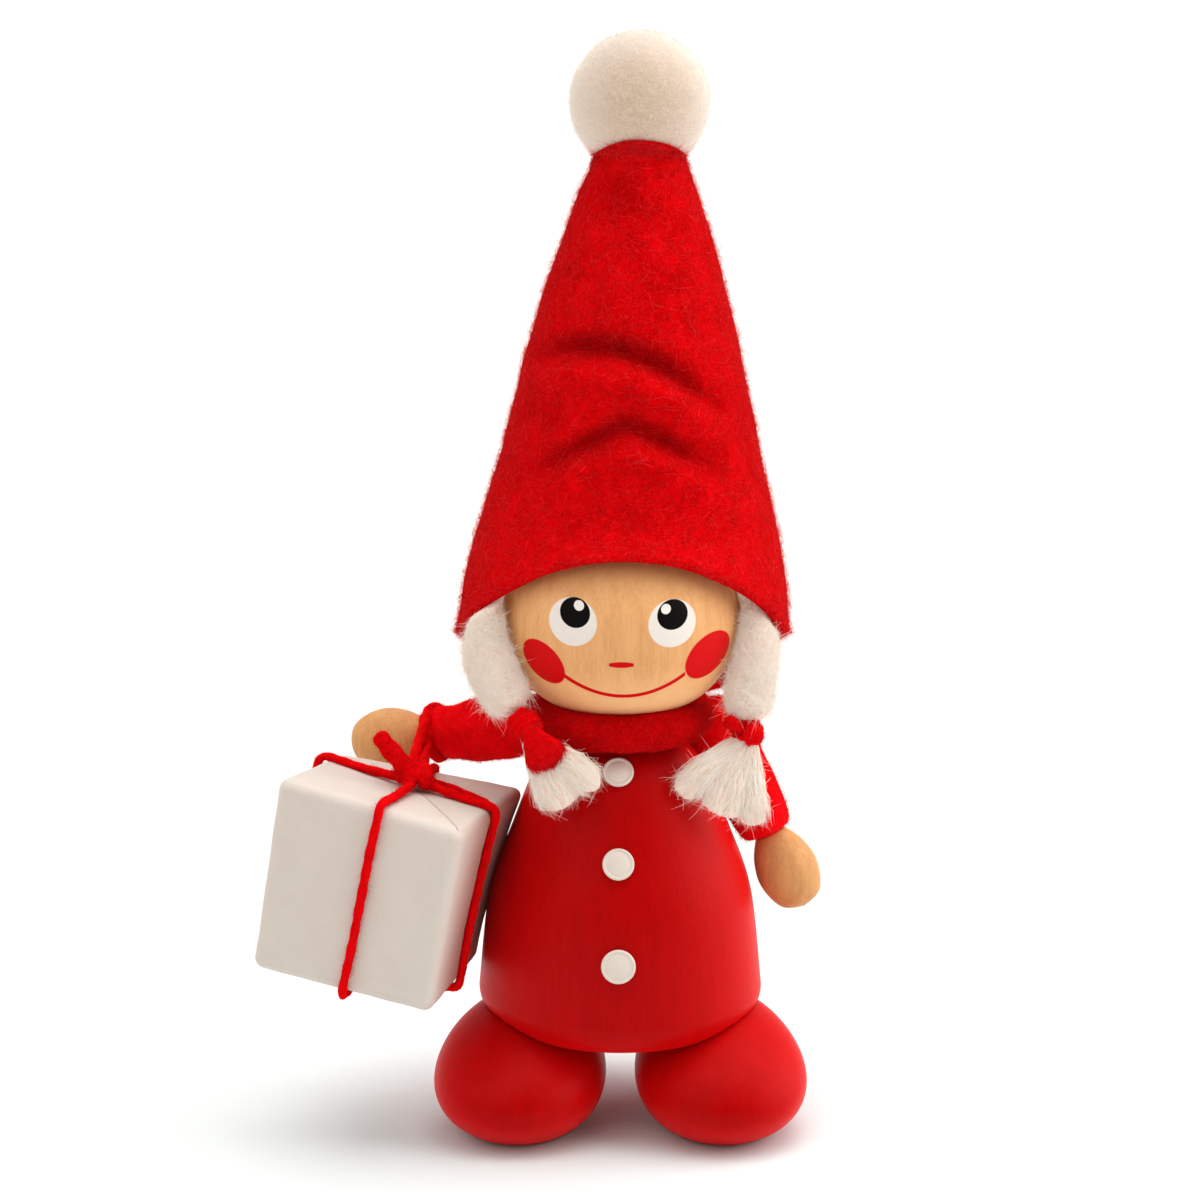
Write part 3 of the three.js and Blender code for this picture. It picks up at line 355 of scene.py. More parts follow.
bare_wood, tree, shader = finish_of("bare_wood", Roughness=0.5, Specular_IOR_Level=0.12)
place = stretched(tree, GRAIN_FINENESS, GRAIN_FINENESS, 240)
grain = look_of(wood_grain, place, (0.74, 0.38, 0.15, 1), (0.62, 0.295, 0.11, 1), Pores=0.3)
feed(shader, Base_Color=grain["Colour"], Normal=bump(grain["Height"], 0.3, 0.00005))


def keep(material, *nodes):
    """Gives CAD pieces that stay as they are their material."""
    for node in nodes:
        slots = bpy.data.objects[node].data.materials
        slots.clear()
        slots.append(material)


keep(bare_wood, "leg_dowel_right", "leg_dowel_left", "neck_dowel")

# Buttons: three small turned discs with a fine bead round a slightly domed face, dipped in white lacquer.
# Each stands on a peg driven into the body's front.

# Each button: its depth below the body's top and its radius.
BUTTONS = {"button_bottom": (32.5, 2.55), "button_middle": (18.1, 2.35), "button_top": (5.7, 2.3)}
BUTTON_DOME, BUTTON_RIM, BUTTON_BEAD, BUTTON_ASIDE = 0.35, 0.5, 0.24, -0.4
# How far the back's edge is cut in, the heights of the back and the side, and the groove inside the bead.
BUTTON_CUT_IN, BUTTON_BACK, BUTTON_SIDE, GROOVE_WIDTH, GROOVE_DEPTH = 0.2, 0.12, 0.3, 0.1, 0.06
PEG_RADIUS, PEG_LENGTH = 0.9, 4.0

white_paint, tree, shader = finish_of("white_painted_wood", Roughness=0.38, Specular_IOR_Level=0.25)
cloudy = noise(stretched(tree, 1200), 1.0, 3.0)
colour = mix(cloudy, (0.74, 0.66, 0.58, 1), (0.80, 0.73, 0.66, 1))
feed(shader, Base_Color=colour, Normal=bump(cloudy, 0.2, 0.00004))

body_slope = -np.gradient(body_side[:, 0], body_side[:, 1])
arc, share = np.linspace(0, np.pi * 0.78, 12), np.linspace(1, 0.02, 16)
for node, (depth, wide) in BUTTONS.items():
    height = BODY_TOP - depth
    radius, slope = (np.interp(height, body_side[:, 1], values) for values in (body_side[:, 0], body_slope))
    slope = np.arctan(slope)
    bead = np.stack([wide + BUTTON_BEAD * (np.cos(arc) - 1), BUTTON_RIM + BUTTON_BEAD * np.sin(arc)], 1)
    face_radius, face_height = bead[-1] - (GROOVE_WIDTH, GROOVE_DEPTH)
    face = np.stack([face_radius * share, face_height + BUTTON_DOME * (1 - share ** 2)], 1)
    back = [(PEG_RADIUS, BUTTON_BACK), (wide - BUTTON_CUT_IN, BUTTON_BACK), (wide, BUTTON_SIDE)]
    leaning = [(1, 0, 0), (0, np.sin(slope), np.cos(slope)), (0, -np.cos(slope), np.sin(slope))]
    rings = turned(np.concatenate([[(PEG_RADIUS, -PEG_LENGTH)], back, bead, face]), 72) @ np.array(leaning)
    rings += (BUTTON_ASIDE, -radius, height)
    skin(node + "_disc", rings, (white_paint, "figure", "white_painted_wood", node))

# Head: a ball turned a little flatter than round from pale wood, sanded and left bare, on the neck dowel.
# The face is painted on by hand: white eyes, black pupils, a light in each, red cheeks, nose and smile.

HEAD_RADIUS, HEAD_HALF_HEIGHT, HEAD_FULLNESS = 17.8, 15.6, 2.15
HEAD_MIDDLE = BODY_TOP + GAP / 2 + HEAD_HALF_HEIGHT
WOOD_LIGHT, WOOD_DARK = (0.86, 0.47, 0.205, 1), (0.75, 0.375, 0.15, 1)
# The colours of the painted light on the chin and of the brim's painted shadow on the brow.
PAINTED_CHIN_LIGHT, PAINTED_BROW_SHADOW = (1.0, 0.60, 0.29, 1), (0.46, 0.22, 0.085, 1)
MARK_RED, EYE_WHITE = (0.66, 0.002, 0.004, 1), (0.86, 0.80, 0.74, 1)
PUPIL_BLACK, LIGHT_WHITE = (0.004, 0.003, 0.003, 1), (0.86, 0.83, 0.79, 1)
# Each mark: across and up from the middle of the head, half sizes, and the turn of its long axis in
# degrees.
EYE_WHITES = ((-7.02, 2.58, 3.5, 3.5, 0), (7.35, 2.33, 3.5, 3.47, 0))
PUPILS = ((-6.72, 3.94, 2.2, 2.18, 0), (7.41, 3.6, 2.25, 2.18, 0))
EYE_LIGHTS = ((-6.14, 5.0, 0.74, 0.74, 0), (6.45, 4.48, 0.72, 0.72, 0))
CHEEKS = ((-11.3, -4.1, 3.85, 2.5, -50), (12.7, -3.4, 4.0, 2.85, 49))
SMILE_DEPTH, SMILE_MIDDLE, SMILE_CURVE, SMILE_HALF_WIDTH, SMILE_ENDS = -8.7, 0.4, 0.0385, 0.3, 8.9
NOSE_HEIGHT, NOSE_HALF_LENGTH, NOSE_HALF_HEIGHT = -3.5, 1.82, 0.46
BRUSH_EDGE, BARE_ROUGHNESS, PAINT_SMOOTHING = 0.05, 0.54, 0.16
# Heights from the head's middle over which the wood is painted paler towards the chin, a painted light
# thrown up from below, and darker towards the brow, a painted shadow of the hat's brim, and how much of
# each shows.
CHIN_LIGHT_FADE, CHIN_LIGHT_SHARE, BROW_SHADOW_FADE, BROW_SHADOW_SHARE = (-3.0, -12.0), 0.9, (4.0, 12.0), 0.75

# A painted spot: 1 inside an ellipse, seen along the Y axis, whose place, half sizes and turn are given.
SPOT_INPUTS = ("Middle across", "Middle up", "Half length", "Half width", "Turn", "Across", "Up")
painted_spot, given, put = effect("painted_spot", dict.fromkeys(SPOT_INPUTS, "Float"), {"Mask": "Float"})
x, z = given["Across"] - given["Middle across"], given["Up"] - given["Middle up"]
cosine, sine = given["Turn"].math("COSINE"), given["Turn"].math("SINE")
along = (x * cosine + z * sine) / given["Half length"]
aside = (z * cosine - x * sine) / given["Half width"]
feed(put, Mask=(along * along + aside * aside).math("SQRT").steps(1.02, 0.97))

face_wood, tree, shader = finish_of("painted_face_wood", Specular_IOR_Level=0.06)
place = stretched(tree, GRAIN_FINENESS, GRAIN_FINENESS, 240)
grain = look_of(wood_grain, place, WOOD_LIGHT, WOOD_DARK, Pores=0.3)
place = lay(tree, "SeparateXYZ", {0: lay(tree, "TexCoord")["Object"]})
across = (place["X"] - FIGURE_AXIS[0]) * (1 / MM)
upward = place["Z"] * (1 / MM) - HEAD_MIDDLE
front = place["Y"].math("LESS_THAN", FIGURE_AXIS[1])


def marked(spots):
    """The joint mask of two painted spots on the head's front."""
    masks = []
    for *sizes, turn in spots:
        inputs = dict(zip(SPOT_INPUTS, (*sizes, np.radians(turn), across, upward)))
        masks.append(lay(tree, "Group", inputs, node_tree=painted_spot)["Mask"])
    return masks[0].math("MAXIMUM", masks[1]) * front


off_middle = across - SMILE_MIDDLE
bow = off_middle * off_middle * SMILE_CURVE + SMILE_DEPTH
steep = off_middle * (2 * SMILE_CURVE)
steep = (steep * steep + 1.0).math("SQRT")
smile = (abs(upward - bow) / steep).steps(SMILE_HALF_WIDTH + BRUSH_EDGE, SMILE_HALF_WIDTH - BRUSH_EDGE)
smile = smile * abs(off_middle).steps(SMILE_ENDS + 2 * BRUSH_EDGE, SMILE_ENDS)
share = across / NOSE_HALF_LENGTH
share = share * share
thick = share * (-0.5 * NOSE_HALF_HEIGHT) + NOSE_HALF_HEIGHT
nose = (abs(upward - NOSE_HEIGHT) - thick).steps(BRUSH_EDGE, -BRUSH_EDGE) * share.steps(1.03, 0.95)
red_marks = (smile.math("MAXIMUM", nose) * front).math("MAXIMUM", marked(CHEEKS))
whites = marked(EYE_WHITES)
# Painted light and shadow: the wood is painted paler towards the chin and darker under the brim.
colour = mix(upward.steps(*CHIN_LIGHT_FADE) * CHIN_LIGHT_SHARE, grain["Colour"], PAINTED_CHIN_LIGHT)
colour = mix(upward.steps(*BROW_SHADOW_FADE) * BROW_SHADOW_SHARE, colour, PAINTED_BROW_SHADOW)
for mask, paint in ((red_marks, MARK_RED), (whites, EYE_WHITE), (marked(PUPILS), PUPIL_BLACK),
                    (marked(EYE_LIGHTS), LIGHT_WHITE)):
    colour = mix(mask, colour, paint)
paint = red_marks.math("MAXIMUM", whites)
height = grain["Height"] * 0.25 + paint * 0.7
roughness = paint * -PAINT_SMOOTHING + BARE_ROUGHNESS
feed(shader, Base_Color=colour, Roughness=roughness, Normal=bump(height, 0.5, 0.00008))


def head_radius(height):
    """Radius of the head's outside at a height. The height's share of the half height is raised to the
    fullness and taken from one, and what is left is raised to one over the fullness."""
    share = np.clip(np.abs(height - HEAD_MIDDLE) / HEAD_HALF_HEIGHT, 0, 1)
    return HEAD_RADIUS * (1 - share ** HEAD_FULLNESS) ** (1 / HEAD_FULLNESS)


rise = HEAD_MIDDLE - HEAD_HALF_HEIGHT * np.cos(np.linspace(0.03, np.pi - 0.03, 110))
head_rings = turned(np.stack([head_radius(rise), rise], 1), TURNED_COLUMNS)
skin("head", head_rings, (face_wood, "figure", "bare_wood", "head_ball"))

# Hat: a tall cone cut from red wool felt, sewn up the back, pulled over the head and pushed down once, so
# that it creases twice across the front. Its nap is brushed up, and single hairs lie on it.

HAT_WALL = 1.7
HAT_BRIM_MIDDLE = (0.3, 3.6, HEAD_MIDDLE - 3.8)
HAT_HEIGHT, HAT_LEAN, HAT_BRIM_TILT = 73.2, 2.4, 38.5
# Rings up the hat: shares of its height and lean, how far back, then tilt, half width and half depth.
HAT_RINGS = [
    (0, 0, 0, HAT_BRIM_TILT, 25.3, 24.6), (0.167, 0.25, 4.4, 22, 23.5, 21.4), (0.372, 0.5, 4.4, 8, 19.6, 18),
    (0.584, 0.65, 3.4, 3, 16, 15), (0.79, 0.85, 2.4, 0, 11.7, 11.3), (1, 1, 1.6, 0, 6.4, 6.4),
]
# The brim lifts in front and behind and hangs at the brow and the sides, and the tip rises in front and
# drops behind, each over a share of the hat's height.
HAT_BRIM_LIFT, HAT_BROW_DIP, HAT_SIDE_DIP, HAT_REAR_LIFT, HAT_BRIM_SHARE = 1.2, 0.7, 1.4, 2.6, 0.16
HAT_TIP_LIFT, HAT_TIP_DROP, HAT_TIP_SHARE = 3.1, 1.4, 0.2
# Where the brim hangs and lifts: how far ahead of the hat's side, as a share, and over what share.
BROW_PLACE, SIDE_PLACE, REAR_PLACE = (0.75, 0.2), (0.3, 0.3), (-0.3, 0.35)
# Shares up the hat and round the brim's edge where the nap of the tip and of the brim starts, and its span.
TIP_NAP_FROM, TIP_NAP_SPAN, BRIM_NAP_FROM, BRIM_NAP_SPAN = 0.965, 0.035, 0.55, 0.45
HAT_INSIDE_SHARE, BRIM_ROUNDING, HAT_UNEVEN, HAT_UNEVEN_SIZE = 0.93, 0.8, 0.12, 7.0
# Lines of the two creases: each one's top, its place across and how it falls to the sides.
UPPER_TOP, UPPER_ASIDE, UPPER_BEND = 118.2, -4, 0.028
LOWER_TOP, LOWER_ASIDE, LOWER_SLOPE, LOWER_BLUNT = 107.2, 1, 0.6, 2
# The roll and the dent along each line: height or depth, distance above the line and half width.
CREASE_ROLLS, CREASE_DENTS = ((1.7, -3.4, 2.2), (1.4, -3.4, 2.4)), ((2.4, 0.9, 2.0), (2.1, 0.5, 1.9))
# The half width of the creases, the depth towards the back over which their painted shade fades, and the
# dent that is painted darkest.
CREASE_HALF_WIDTH, CREASE_SHADE_FADE, DENT_OF_DARKEST_SHADE = 13.5, 5.0, 2
# Two small dents: depth, height and half height, then place across and half width.
SMALL_DENTS = ((0.8, 109.5, 2.6, -12.0, 3.2), (1.2, 140.5, 2.6, -0.5, 3.6))
HAT_COLUMNS = 220
POMPOM_RADIUS, POMPOM_MIDDLE, HUG_SHARPNESS = 10.2, np.array([2.7, 5.2, 153.55]), 40
FELT_RED, FELT_DEEP_RED = (0.95, 0.001, 0.004, 1), (0.60, 0.0004, 0.001, 1)
# The colour of the painted shade deep in the creases.
# The darker red painted where the hat is seen from the side, a painted shade.
CREASE_SHADE_RED, PAINTED_SIDE_SHADE_RED = (0.12, 0, 0, 1), (0.42, 0.0003, 0.0008, 1)


def hill(value, middle, width):
    """A rounded rise of height 1: the bell curve of the distance from its middle."""
    return np.exp(-(((value - middle) / width) ** 2))


def waves(points, size, seed, count=14):
    """A smooth uneven field from -1 to 1: the sum of sine waves, of about one wavelength, in chance
    directions."""
    chance = np.random.default_rng(seed)
    ways = chance.normal(size=(count, 3))
    length = np.linalg.norm(ways, axis=1, keepdims=True)
    ways *= 2 * np.pi / size * chance.uniform(0.6, 1.5, (count, 1)) / length
    return np.sin(points @ ways.T + chance.uniform(0, 2 * np.pi, count)).sum(axis=-1) / np.sqrt(count) / 1.5


def hat_creases(x, z):
    """How far the front of the hat is pushed out: each crease is a dent along an arched line with a roll
    of felt below it. The upper line is a parabola from the left, and the lower a hyperbola with a blunt
    peak. Small dents are bell curves both ways."""
    upper = z - (UPPER_TOP - UPPER_BEND * (x - UPPER_ASIDE) ** 2)
    fall = np.sqrt((x - LOWER_ASIDE) ** 2 + LOWER_BLUNT ** 2) - LOWER_BLUNT
    push = 0
    for off, roll, dent in zip((upper, z - (LOWER_TOP - LOWER_SLOPE * fall)), CREASE_ROLLS, CREASE_DENTS):
        push = push + (roll[0] * hill(off, *roll[1:]) - dent[0] * hill(off, *dent[1:]))
    small = sum(depth * hill(z, up, tall) * hill(x, at, wide) for depth, up, tall, at, wide in SMALL_DENTS)
    return push * np.exp(-((x / CREASE_HALF_WIDTH) ** 4)) - small


def hat_line(up):
    """The hat's rings at shares up it, and the points of its bending middle line."""
    ring = spline(HAT_RINGS, up)
    middle = np.stack([HAT_LEAN * ring[..., 1], ring[..., 2], HAT_HEIGHT * ring[..., 0]], -1)
    return ring, middle + HAT_BRIM_MIDDLE


def hat_ring(up, turn, inset=0.0):
    """Points of the hat: an ellipse about the middle line, tipped by the ring's tilt, less the inset. The
    front is creased, the brim lifts over the forehead and hangs at the sides, and the tip laps over the
    front of the pompom and hugs it."""
    ring, middle = hat_line(up)
    tilt, wide, deep = np.radians(ring[..., 3]), ring[..., 4] - inset, ring[..., 5] - inset
    out = np.stack([np.cos(turn), np.sin(turn) * np.cos(tilt), -np.sin(turn) * np.sin(tilt)], -1)
    points = middle + out * np.stack([wide, deep, deep], -1)
    ahead = -np.sin(turn)
    front = np.clip(ahead, 0, 1)
    push = front ** 0.8 * hat_creases(points[..., 0], points[..., 2])
    push = push + HAT_UNEVEN * waves(points, HAT_UNEVEN_SIZE, 3)
    points = points + out * push[..., None]
    edge = HAT_BRIM_LIFT * front ** 3 - HAT_BROW_DIP * hill(ahead, *BROW_PLACE)
    edge += HAT_REAR_LIFT * hill(ahead, *REAR_PLACE) - HAT_SIDE_DIP * hill(ahead, *SIDE_PLACE)
    tip = HAT_TIP_LIFT * front ** 1.5 - HAT_TIP_DROP * (1 - front)
    points[..., 2] += edge * np.clip(1 - up / HAT_BRIM_SHARE, 0, 1)
    points[..., 2] += tip * np.clip((up - (1 - HAT_TIP_SHARE)) / HAT_TIP_SHARE, 0, 1) ** 2
    from_pompom = points - POMPOM_MIDDLE
    hug = (POMPOM_RADIUS + GAP) / np.linalg.norm(from_pompom, axis=-1)
    hug = 1 + np.logaddexp(0, HUG_SHARPNESS * (hug - 1)) / HUG_SHARPNESS
    return POMPOM_MIDDLE + from_pompom * hug[..., None]


def grid(rows, columns):
    """Shares round and along a surface for its rows and columns of points."""
    v, u = np.meshgrid(np.linspace(0, 1, rows), np.arange(columns) / columns, indexing="ij")
    return u, v


def hat_outside(u, v):
    """The hat's outside by shares round it and up it."""
    return hat_ring(v, 2 * np.pi * u)


def hat_tip(u, v):
    """The last of the hat's outside, round the pompom."""
    return hat_outside(u, TIP_NAP_FROM + TIP_NAP_SPAN * v)


def hat_brim(u, v):
    """The brim's edge: half an oval from the hat's inside to its outside."""
    inside, outside = (hat_ring(0 * u, 2 * np.pi * u, inset) for inset in (HAT_WALL, 0.0))
    lip, tilt = np.pi * v[..., None], np.radians(HAT_BRIM_TILT)
    across = (inside + outside) / 2 + (inside - outside) / 2 * np.cos(lip)
    return across - np.array([0, np.sin(tilt), np.cos(tilt)]) * BRIM_ROUNDING * np.sin(lip)


def hat_brim_outside(u, v):
    """The outer half of the brim's edge."""
    return hat_brim(u, BRIM_NAP_FROM + BRIM_NAP_SPAN * v)


# Felt: matted fibres as a distorted fine noise over slow blotches, which Blotch weighs. Colour runs from
# Dark in the hollows to Light on the tops, partly the felt's own mottled tone and partly painted shade in
# the hollows.
felt_fibres, given, put = effect("felt_fibres", {**LOOK_INPUTS, "Blotch": "Float"}, LOOK_OUTPUTS)
matted, slow = noise(given["Vector"], 1.0, 5.0, 0.68, 1.6), noise(given["Vector"], 0.16, 3.0, 0.6)
both = (slow - 0.5) * given["Blotch"] + (matted - 0.5)
feed(put, Colour=mix(both.steps(-0.2, 0.2), given["Dark"], given["Light"]), Height=matted)


def shade_of(tree):
    """The mesh's own value a point, named shade. It is a fibre's tone on fibres, the top of the paper on the
    gift, and painted shade in the creases on the hat.
    """
    return lay(tree, "Attribute", attribute_name="shade")["Fac"]


def felt(name, light, dark, size, blotch, glow=0.0, crease_shade=None, rim=None):
    """A felt finish whose fibres are as many to the metre as size. The glow is a painted glow: emission that
    stands in for light coming through loose wool. The crease colour is painted shade, laid deep in the
    creases by the mesh's shade. The rim is a share and a colour painted where the felt is seen from the
    side:
    a painted sheen where that colour is lighter and a painted shade where it is darker."""
    made, tree, shader = finish_of(name, Roughness=0.95, Specular_IOR_Level=0.03, Emission_Strength=glow)
    look = look_of(felt_fibres, stretched(tree, size), light, dark, Blotch=blotch)
    colour = look["Colour"]
    # Painted shade: the colour is darkened towards the crease colour where the mesh's shade is high.
    if crease_shade:
        colour = mix(shade_of(tree) * 0.5, colour, crease_shade)
    # Painted sheen where the rim colour is lighter, painted shade where it is darker: the colour is mixed
    # towards it where the surface is seen from the side.
    if rim:
        colour = mix(sideways(tree) * rim[0], colour, rim[1])
    feed(shader, Base_Color=colour, Emission_Color=colour, Normal=bump(look["Height"], 0.8, 0.0003))
    return made


u, v = grid(30, HAT_COLUMNS)
inner = hat_ring(HAT_INSIDE_SHARE * (1 - v), 2 * np.pi * u, HAT_WALL)
brim, outer = hat_brim(*grid(9, HAT_COLUMNS))[1:-1], hat_outside(*grid(160, HAT_COLUMNS))
# Painted shade: the hat's outside is darker where the creases dent it, most in front, fading to the back.
ahead = np.clip(CREASE_SHADE_FADE - outer[..., 1], 0, CREASE_SHADE_FADE)
dent = hat_creases(outer[..., 0], outer[..., 2]) * ahead / CREASE_SHADE_FADE
dent = np.concatenate([np.zeros((len(inner) + len(brim), HAT_COLUMNS)), np.clip(-dent / DENT_OF_DARKEST_SHADE, 0, 1)])
# The hat's felt is painted darker where it is seen from the side, a painted shade.
red_felt = felt("red_felt", FELT_RED, FELT_DEEP_RED, 1700, 0.6, crease_shade=CREASE_SHADE_RED, rim=(1.0, PAINTED_SIDE_SHADE_RED))
hat_rings = np.concatenate([inner, brim, outer])
skin("hat", hat_rings, (red_felt, "figure", "red_felt", "hat_cone"), shade=dent)


def fibres(name, paths, radius, seed, worn):
    """Fine fibres as three-sided tubes along paths, an array of fibres x points x 3. Each ring's corners
    lie square to the path, and the radius falls to a point at the tip as the root of one less the square
    of the share."""
    chance = np.random.default_rng(seed)
    count, length = paths.shape[:2]
    along = np.gradient(paths, axis=1)
    along /= np.linalg.norm(along, axis=2, keepdims=True) + 1e-9
    aside = np.cross(along, chance.normal(size=(count, 1, 3)))
    aside /= np.linalg.norm(aside, axis=2, keepdims=True) + 1e-9
    other = np.cross(along, aside)
    angle = np.arange(3)[:, None] * 2 * np.pi / 3
    reach = radius * np.sqrt(1 - np.linspace(0, 1, length)[:-1] ** 2)[:, None, None]
    rings = np.cos(angle) * aside[:, :-1, None] + np.sin(angle) * other[:, :-1, None]
    rings = paths[:, :-1, None] + reach * rings
    points = np.concatenate([rings.reshape(count, -1, 3), paths[:, -1:]], axis=1)
    size = points.shape[1]
    ring, corner = 3 * np.arange(length - 2)[:, None], np.arange(3)
    after = (corner + 1) % 3
    walls = np.stack([ring + corner, ring + after, ring + 3 + after, ring + 3 + corner], -1).reshape(-1, 4)
    end = 3 * (length - 2)
    tips = np.concatenate([np.stack([end + corner, end + after, np.full(3, size - 1)], 1), [[2, 1, 0]]])
    first = size * np.arange(count)[:, None, None]
    groups = [(faces + first).reshape(-1, faces.shape[1]) for faces in (walls, tips)]
    groups = [(rows, np.zeros(rows.shape + (2,))) for rows in groups]
    shade = np.repeat(chance.uniform(0, 1, count), size)
    return mesh_piece(name, points.reshape(-1, 3), groups, worn, shade)


def fibre_finish(name, light, dark, glow=0.0):
    """A finish for single fibres, each at its own shade between two colours, and a painted glow: emission
    as strong as the glow given.
    """
    made, tree, shader = finish_of(name, Roughness=0.8, Specular_IOR_Level=0.05, Emission_Strength=glow)
    colour = mix(shade_of(tree), dark, light)
    feed(shader, Base_Color=colour, Emission_Color=colour)
    return made


# How deep the nap is rooted, the shares along a surface where it starts and that it spans, and the small
# step that finds the surface's slope.
NAP_ROOT, NAP_FROM, NAP_SPAN, NAP_STEP = 0.05, 0.004, 0.99, 0.002


def grown(roots, way, bend, size, points):
    """Paths from roots: the share along the path times the way, plus its square times the bend, times the
    size."""
    share = np.linspace(0, 1, points)[None, :, None]
    return roots[:, None] + size * (share * way[:, None] + share ** 2 * bend[:, None])


def nap(surface, count, seed, length, lift, curl, points=3):
    """Paths of fibres growing off a surface(u, v), drawn evenly by area. Each leaves along the normal
    times lift plus a chance way along the surface, and bends by curl times the square of its share, along
    another."""
    chance = np.random.default_rng(seed)
    u, v = chance.uniform(0, 1, (2, 3 * count))
    v = NAP_FROM + NAP_SPAN * v
    here = surface(u, v)
    round_it, along_it = surface(u + NAP_STEP, v) - here, surface(u, v + NAP_STEP) - here
    square = np.cross(round_it, along_it)
    area = np.linalg.norm(square, axis=1)
    pick = chance.choice(len(u), count, replace=False, p=area / area.sum())
    here, square, round_it = here[pick], square[pick] / (area[pick, None] + 1e-12), round_it[pick]
    square *= np.sign(np.einsum("ij,ij->i", square, here - surface(u[pick] + 0.5, v[pick])))[:, None]
    round_it /= np.linalg.norm(round_it, axis=1, keepdims=True) + 1e-12
    along_it = np.cross(square, round_it)

    def lying():
        """A chance way along the surface: an angle's cosine round it plus its sine along it."""
        angle = chance.uniform(0, 2 * np.pi, (count, 1))
        return np.cos(angle) * round_it + np.sin(angle) * along_it

    way = square * lift * chance.uniform(0.4, 1.3, (count, 1)) + lying()
    way /= np.linalg.norm(way, axis=1, keepdims=True)
    bend = lying() * curl * chance.uniform(0.2, 1.0, (count, 1))
    return grown(here - NAP_ROOT * square, way, bend, chance.uniform(*length, (count, 1, 1)), points)


red_fibre = fibre_finish("red_felt_fibre", (0.98, 0.03, 0.035, 1), (0.60, 0.0006, 0.002, 1))
bright_fibre = fibre_finish("red_felt_curl", (1.0, 0.05, 0.055, 1), (0.8, 0.004, 0.008, 1))
# Each sort of fibre: its finish and radius, then where it grows, how many, the seed, lengths, lift, curl
# and points of a path.
HAT_FIBRES = {
    "hat_nap": (red_fibre, 0.026, hat_outside, 17000, 11, (0.4, 1.6), 0.8, 0.9),
    "hat_hairs": (red_fibre, 0.02, hat_outside, 6600, 13, (1.2, 3.4), 0.3, 1.1, 5),
    "hat_curls": (bright_fibre, 0.03, hat_outside, 4200, 15, (0.5, 1.5), 0.2, 1.9, 5),
    "hat_brim_nap": (red_fibre, 0.022, hat_brim_outside, 2600, 17, (0.4, 1.5), 0.8, 1.1, 4),
    "hat_tip_nap": (red_fibre, 0.024, hat_tip, 1300, 19, (0.5, 1.7), 0.5, 1.1, 4),
}
for name, (finish, radius, surface, count, seed, *growth) in HAT_FIBRES.items():
    paths = nap(surface, count, seed, *growth)
    fibres(name, paths, radius, seed + 1, (finish, "figure", "red_felt"))

# Wadding and thread: loose white fibre fill keeps the hat standing above the head, and a knotted white
# thread through the tip holds the pompom. Both are out of sight inside the hat.

WADDING_CLEARANCE = 0.8
WADDING_HEADROOM = WADDING_CLEARANCE + 2.2
WADDING_FROM, WADDING_SPAN, WADDING_LUMPS, WADDING_LUMP_SIZE = 0.3, 0.57, 0.35, 5.0
u, v = grid(40, 96)
turn = 2 * np.pi * u
fill = hat_ring(WADDING_FROM + WADDING_SPAN * v, turn, HAT_WALL + WADDING_CLEARANCE)
spoke = np.stack([np.cos(turn), np.sin(turn), 0 * turn], -1)
fill += WADDING_LUMPS * waves(fill, WADDING_LUMP_SIZE, 21)[..., None] * spoke
from_head = fill - (0, 0, HEAD_MIDDLE)
level = np.linalg.norm(from_head[..., :2], axis=-1) / (HEAD_RADIUS + WADDING_HEADROOM)
upright = np.abs(from_head[..., 2]) / (HEAD_HALF_HEIGHT + WADDING_HEADROOM)
inside = (level ** HEAD_FULLNESS + upright ** HEAD_FULLNESS) ** (1 / HEAD_FULLNESS)
fill = from_head / np.minimum(inside, 1)[..., None] + (0, 0, HEAD_MIDDLE)
white_fill = felt("white_wadding", (0.84, 0.81, 0.76, 1), (0.62, 0.58, 0.52, 1), 900, 0.6)
skin("wadding", fill, (white_fill, "figure", "wadding", "hat_wadding"))
keep(white_fill, "pompom_thread")

# Pompom: a stock ball of white wool, felted hard and round, with a short down standing off it. It is sewn
# into the open tip of the hat.

POMPOM_POLE, POMPOM_UNEVEN, POMPOM_UNEVEN_SIZE, POMPOM_INSET = 0.008, 0.08, 0.9, 0.05
DOWN_ABOVE_TIP = 0.2
# The pompom's colours, and the white of the painted sheen at its rim.
POMPOM_LIGHT, POMPOM_DARK, PAINTED_SHEEN_WHITE = (0.80, 0.64, 0.50, 1), (0.60, 0.45, 0.33, 1), (1.0, 0.97, 0.93, 1)


def ball(u, v):
    """The pompom: a sphere, uneven by a tenth of a millimetre."""
    down, turn = np.pi * (POMPOM_POLE + (1 - 2 * POMPOM_POLE) * v), 2 * np.pi * u
    out = np.stack([np.sin(down) * np.cos(turn), np.sin(down) * np.sin(turn), np.cos(down)], -1)
    radius = POMPOM_RADIUS - POMPOM_INSET + POMPOM_UNEVEN * waves(out, POMPOM_UNEVEN_SIZE, 31)
    return POMPOM_MIDDLE + out * radius[..., None]


# Painted sheen: the pompom is painted whiter where it is seen from the side.
white_felt = felt("white_felt", POMPOM_LIGHT, POMPOM_DARK, 3200, 0.15, 0.06, rim=(0.9, PAINTED_SHEEN_WHITE))
skin("pompom_ball", ball(*grid(90, 150)), (white_felt, "figure", "white_felt", "pompom"))
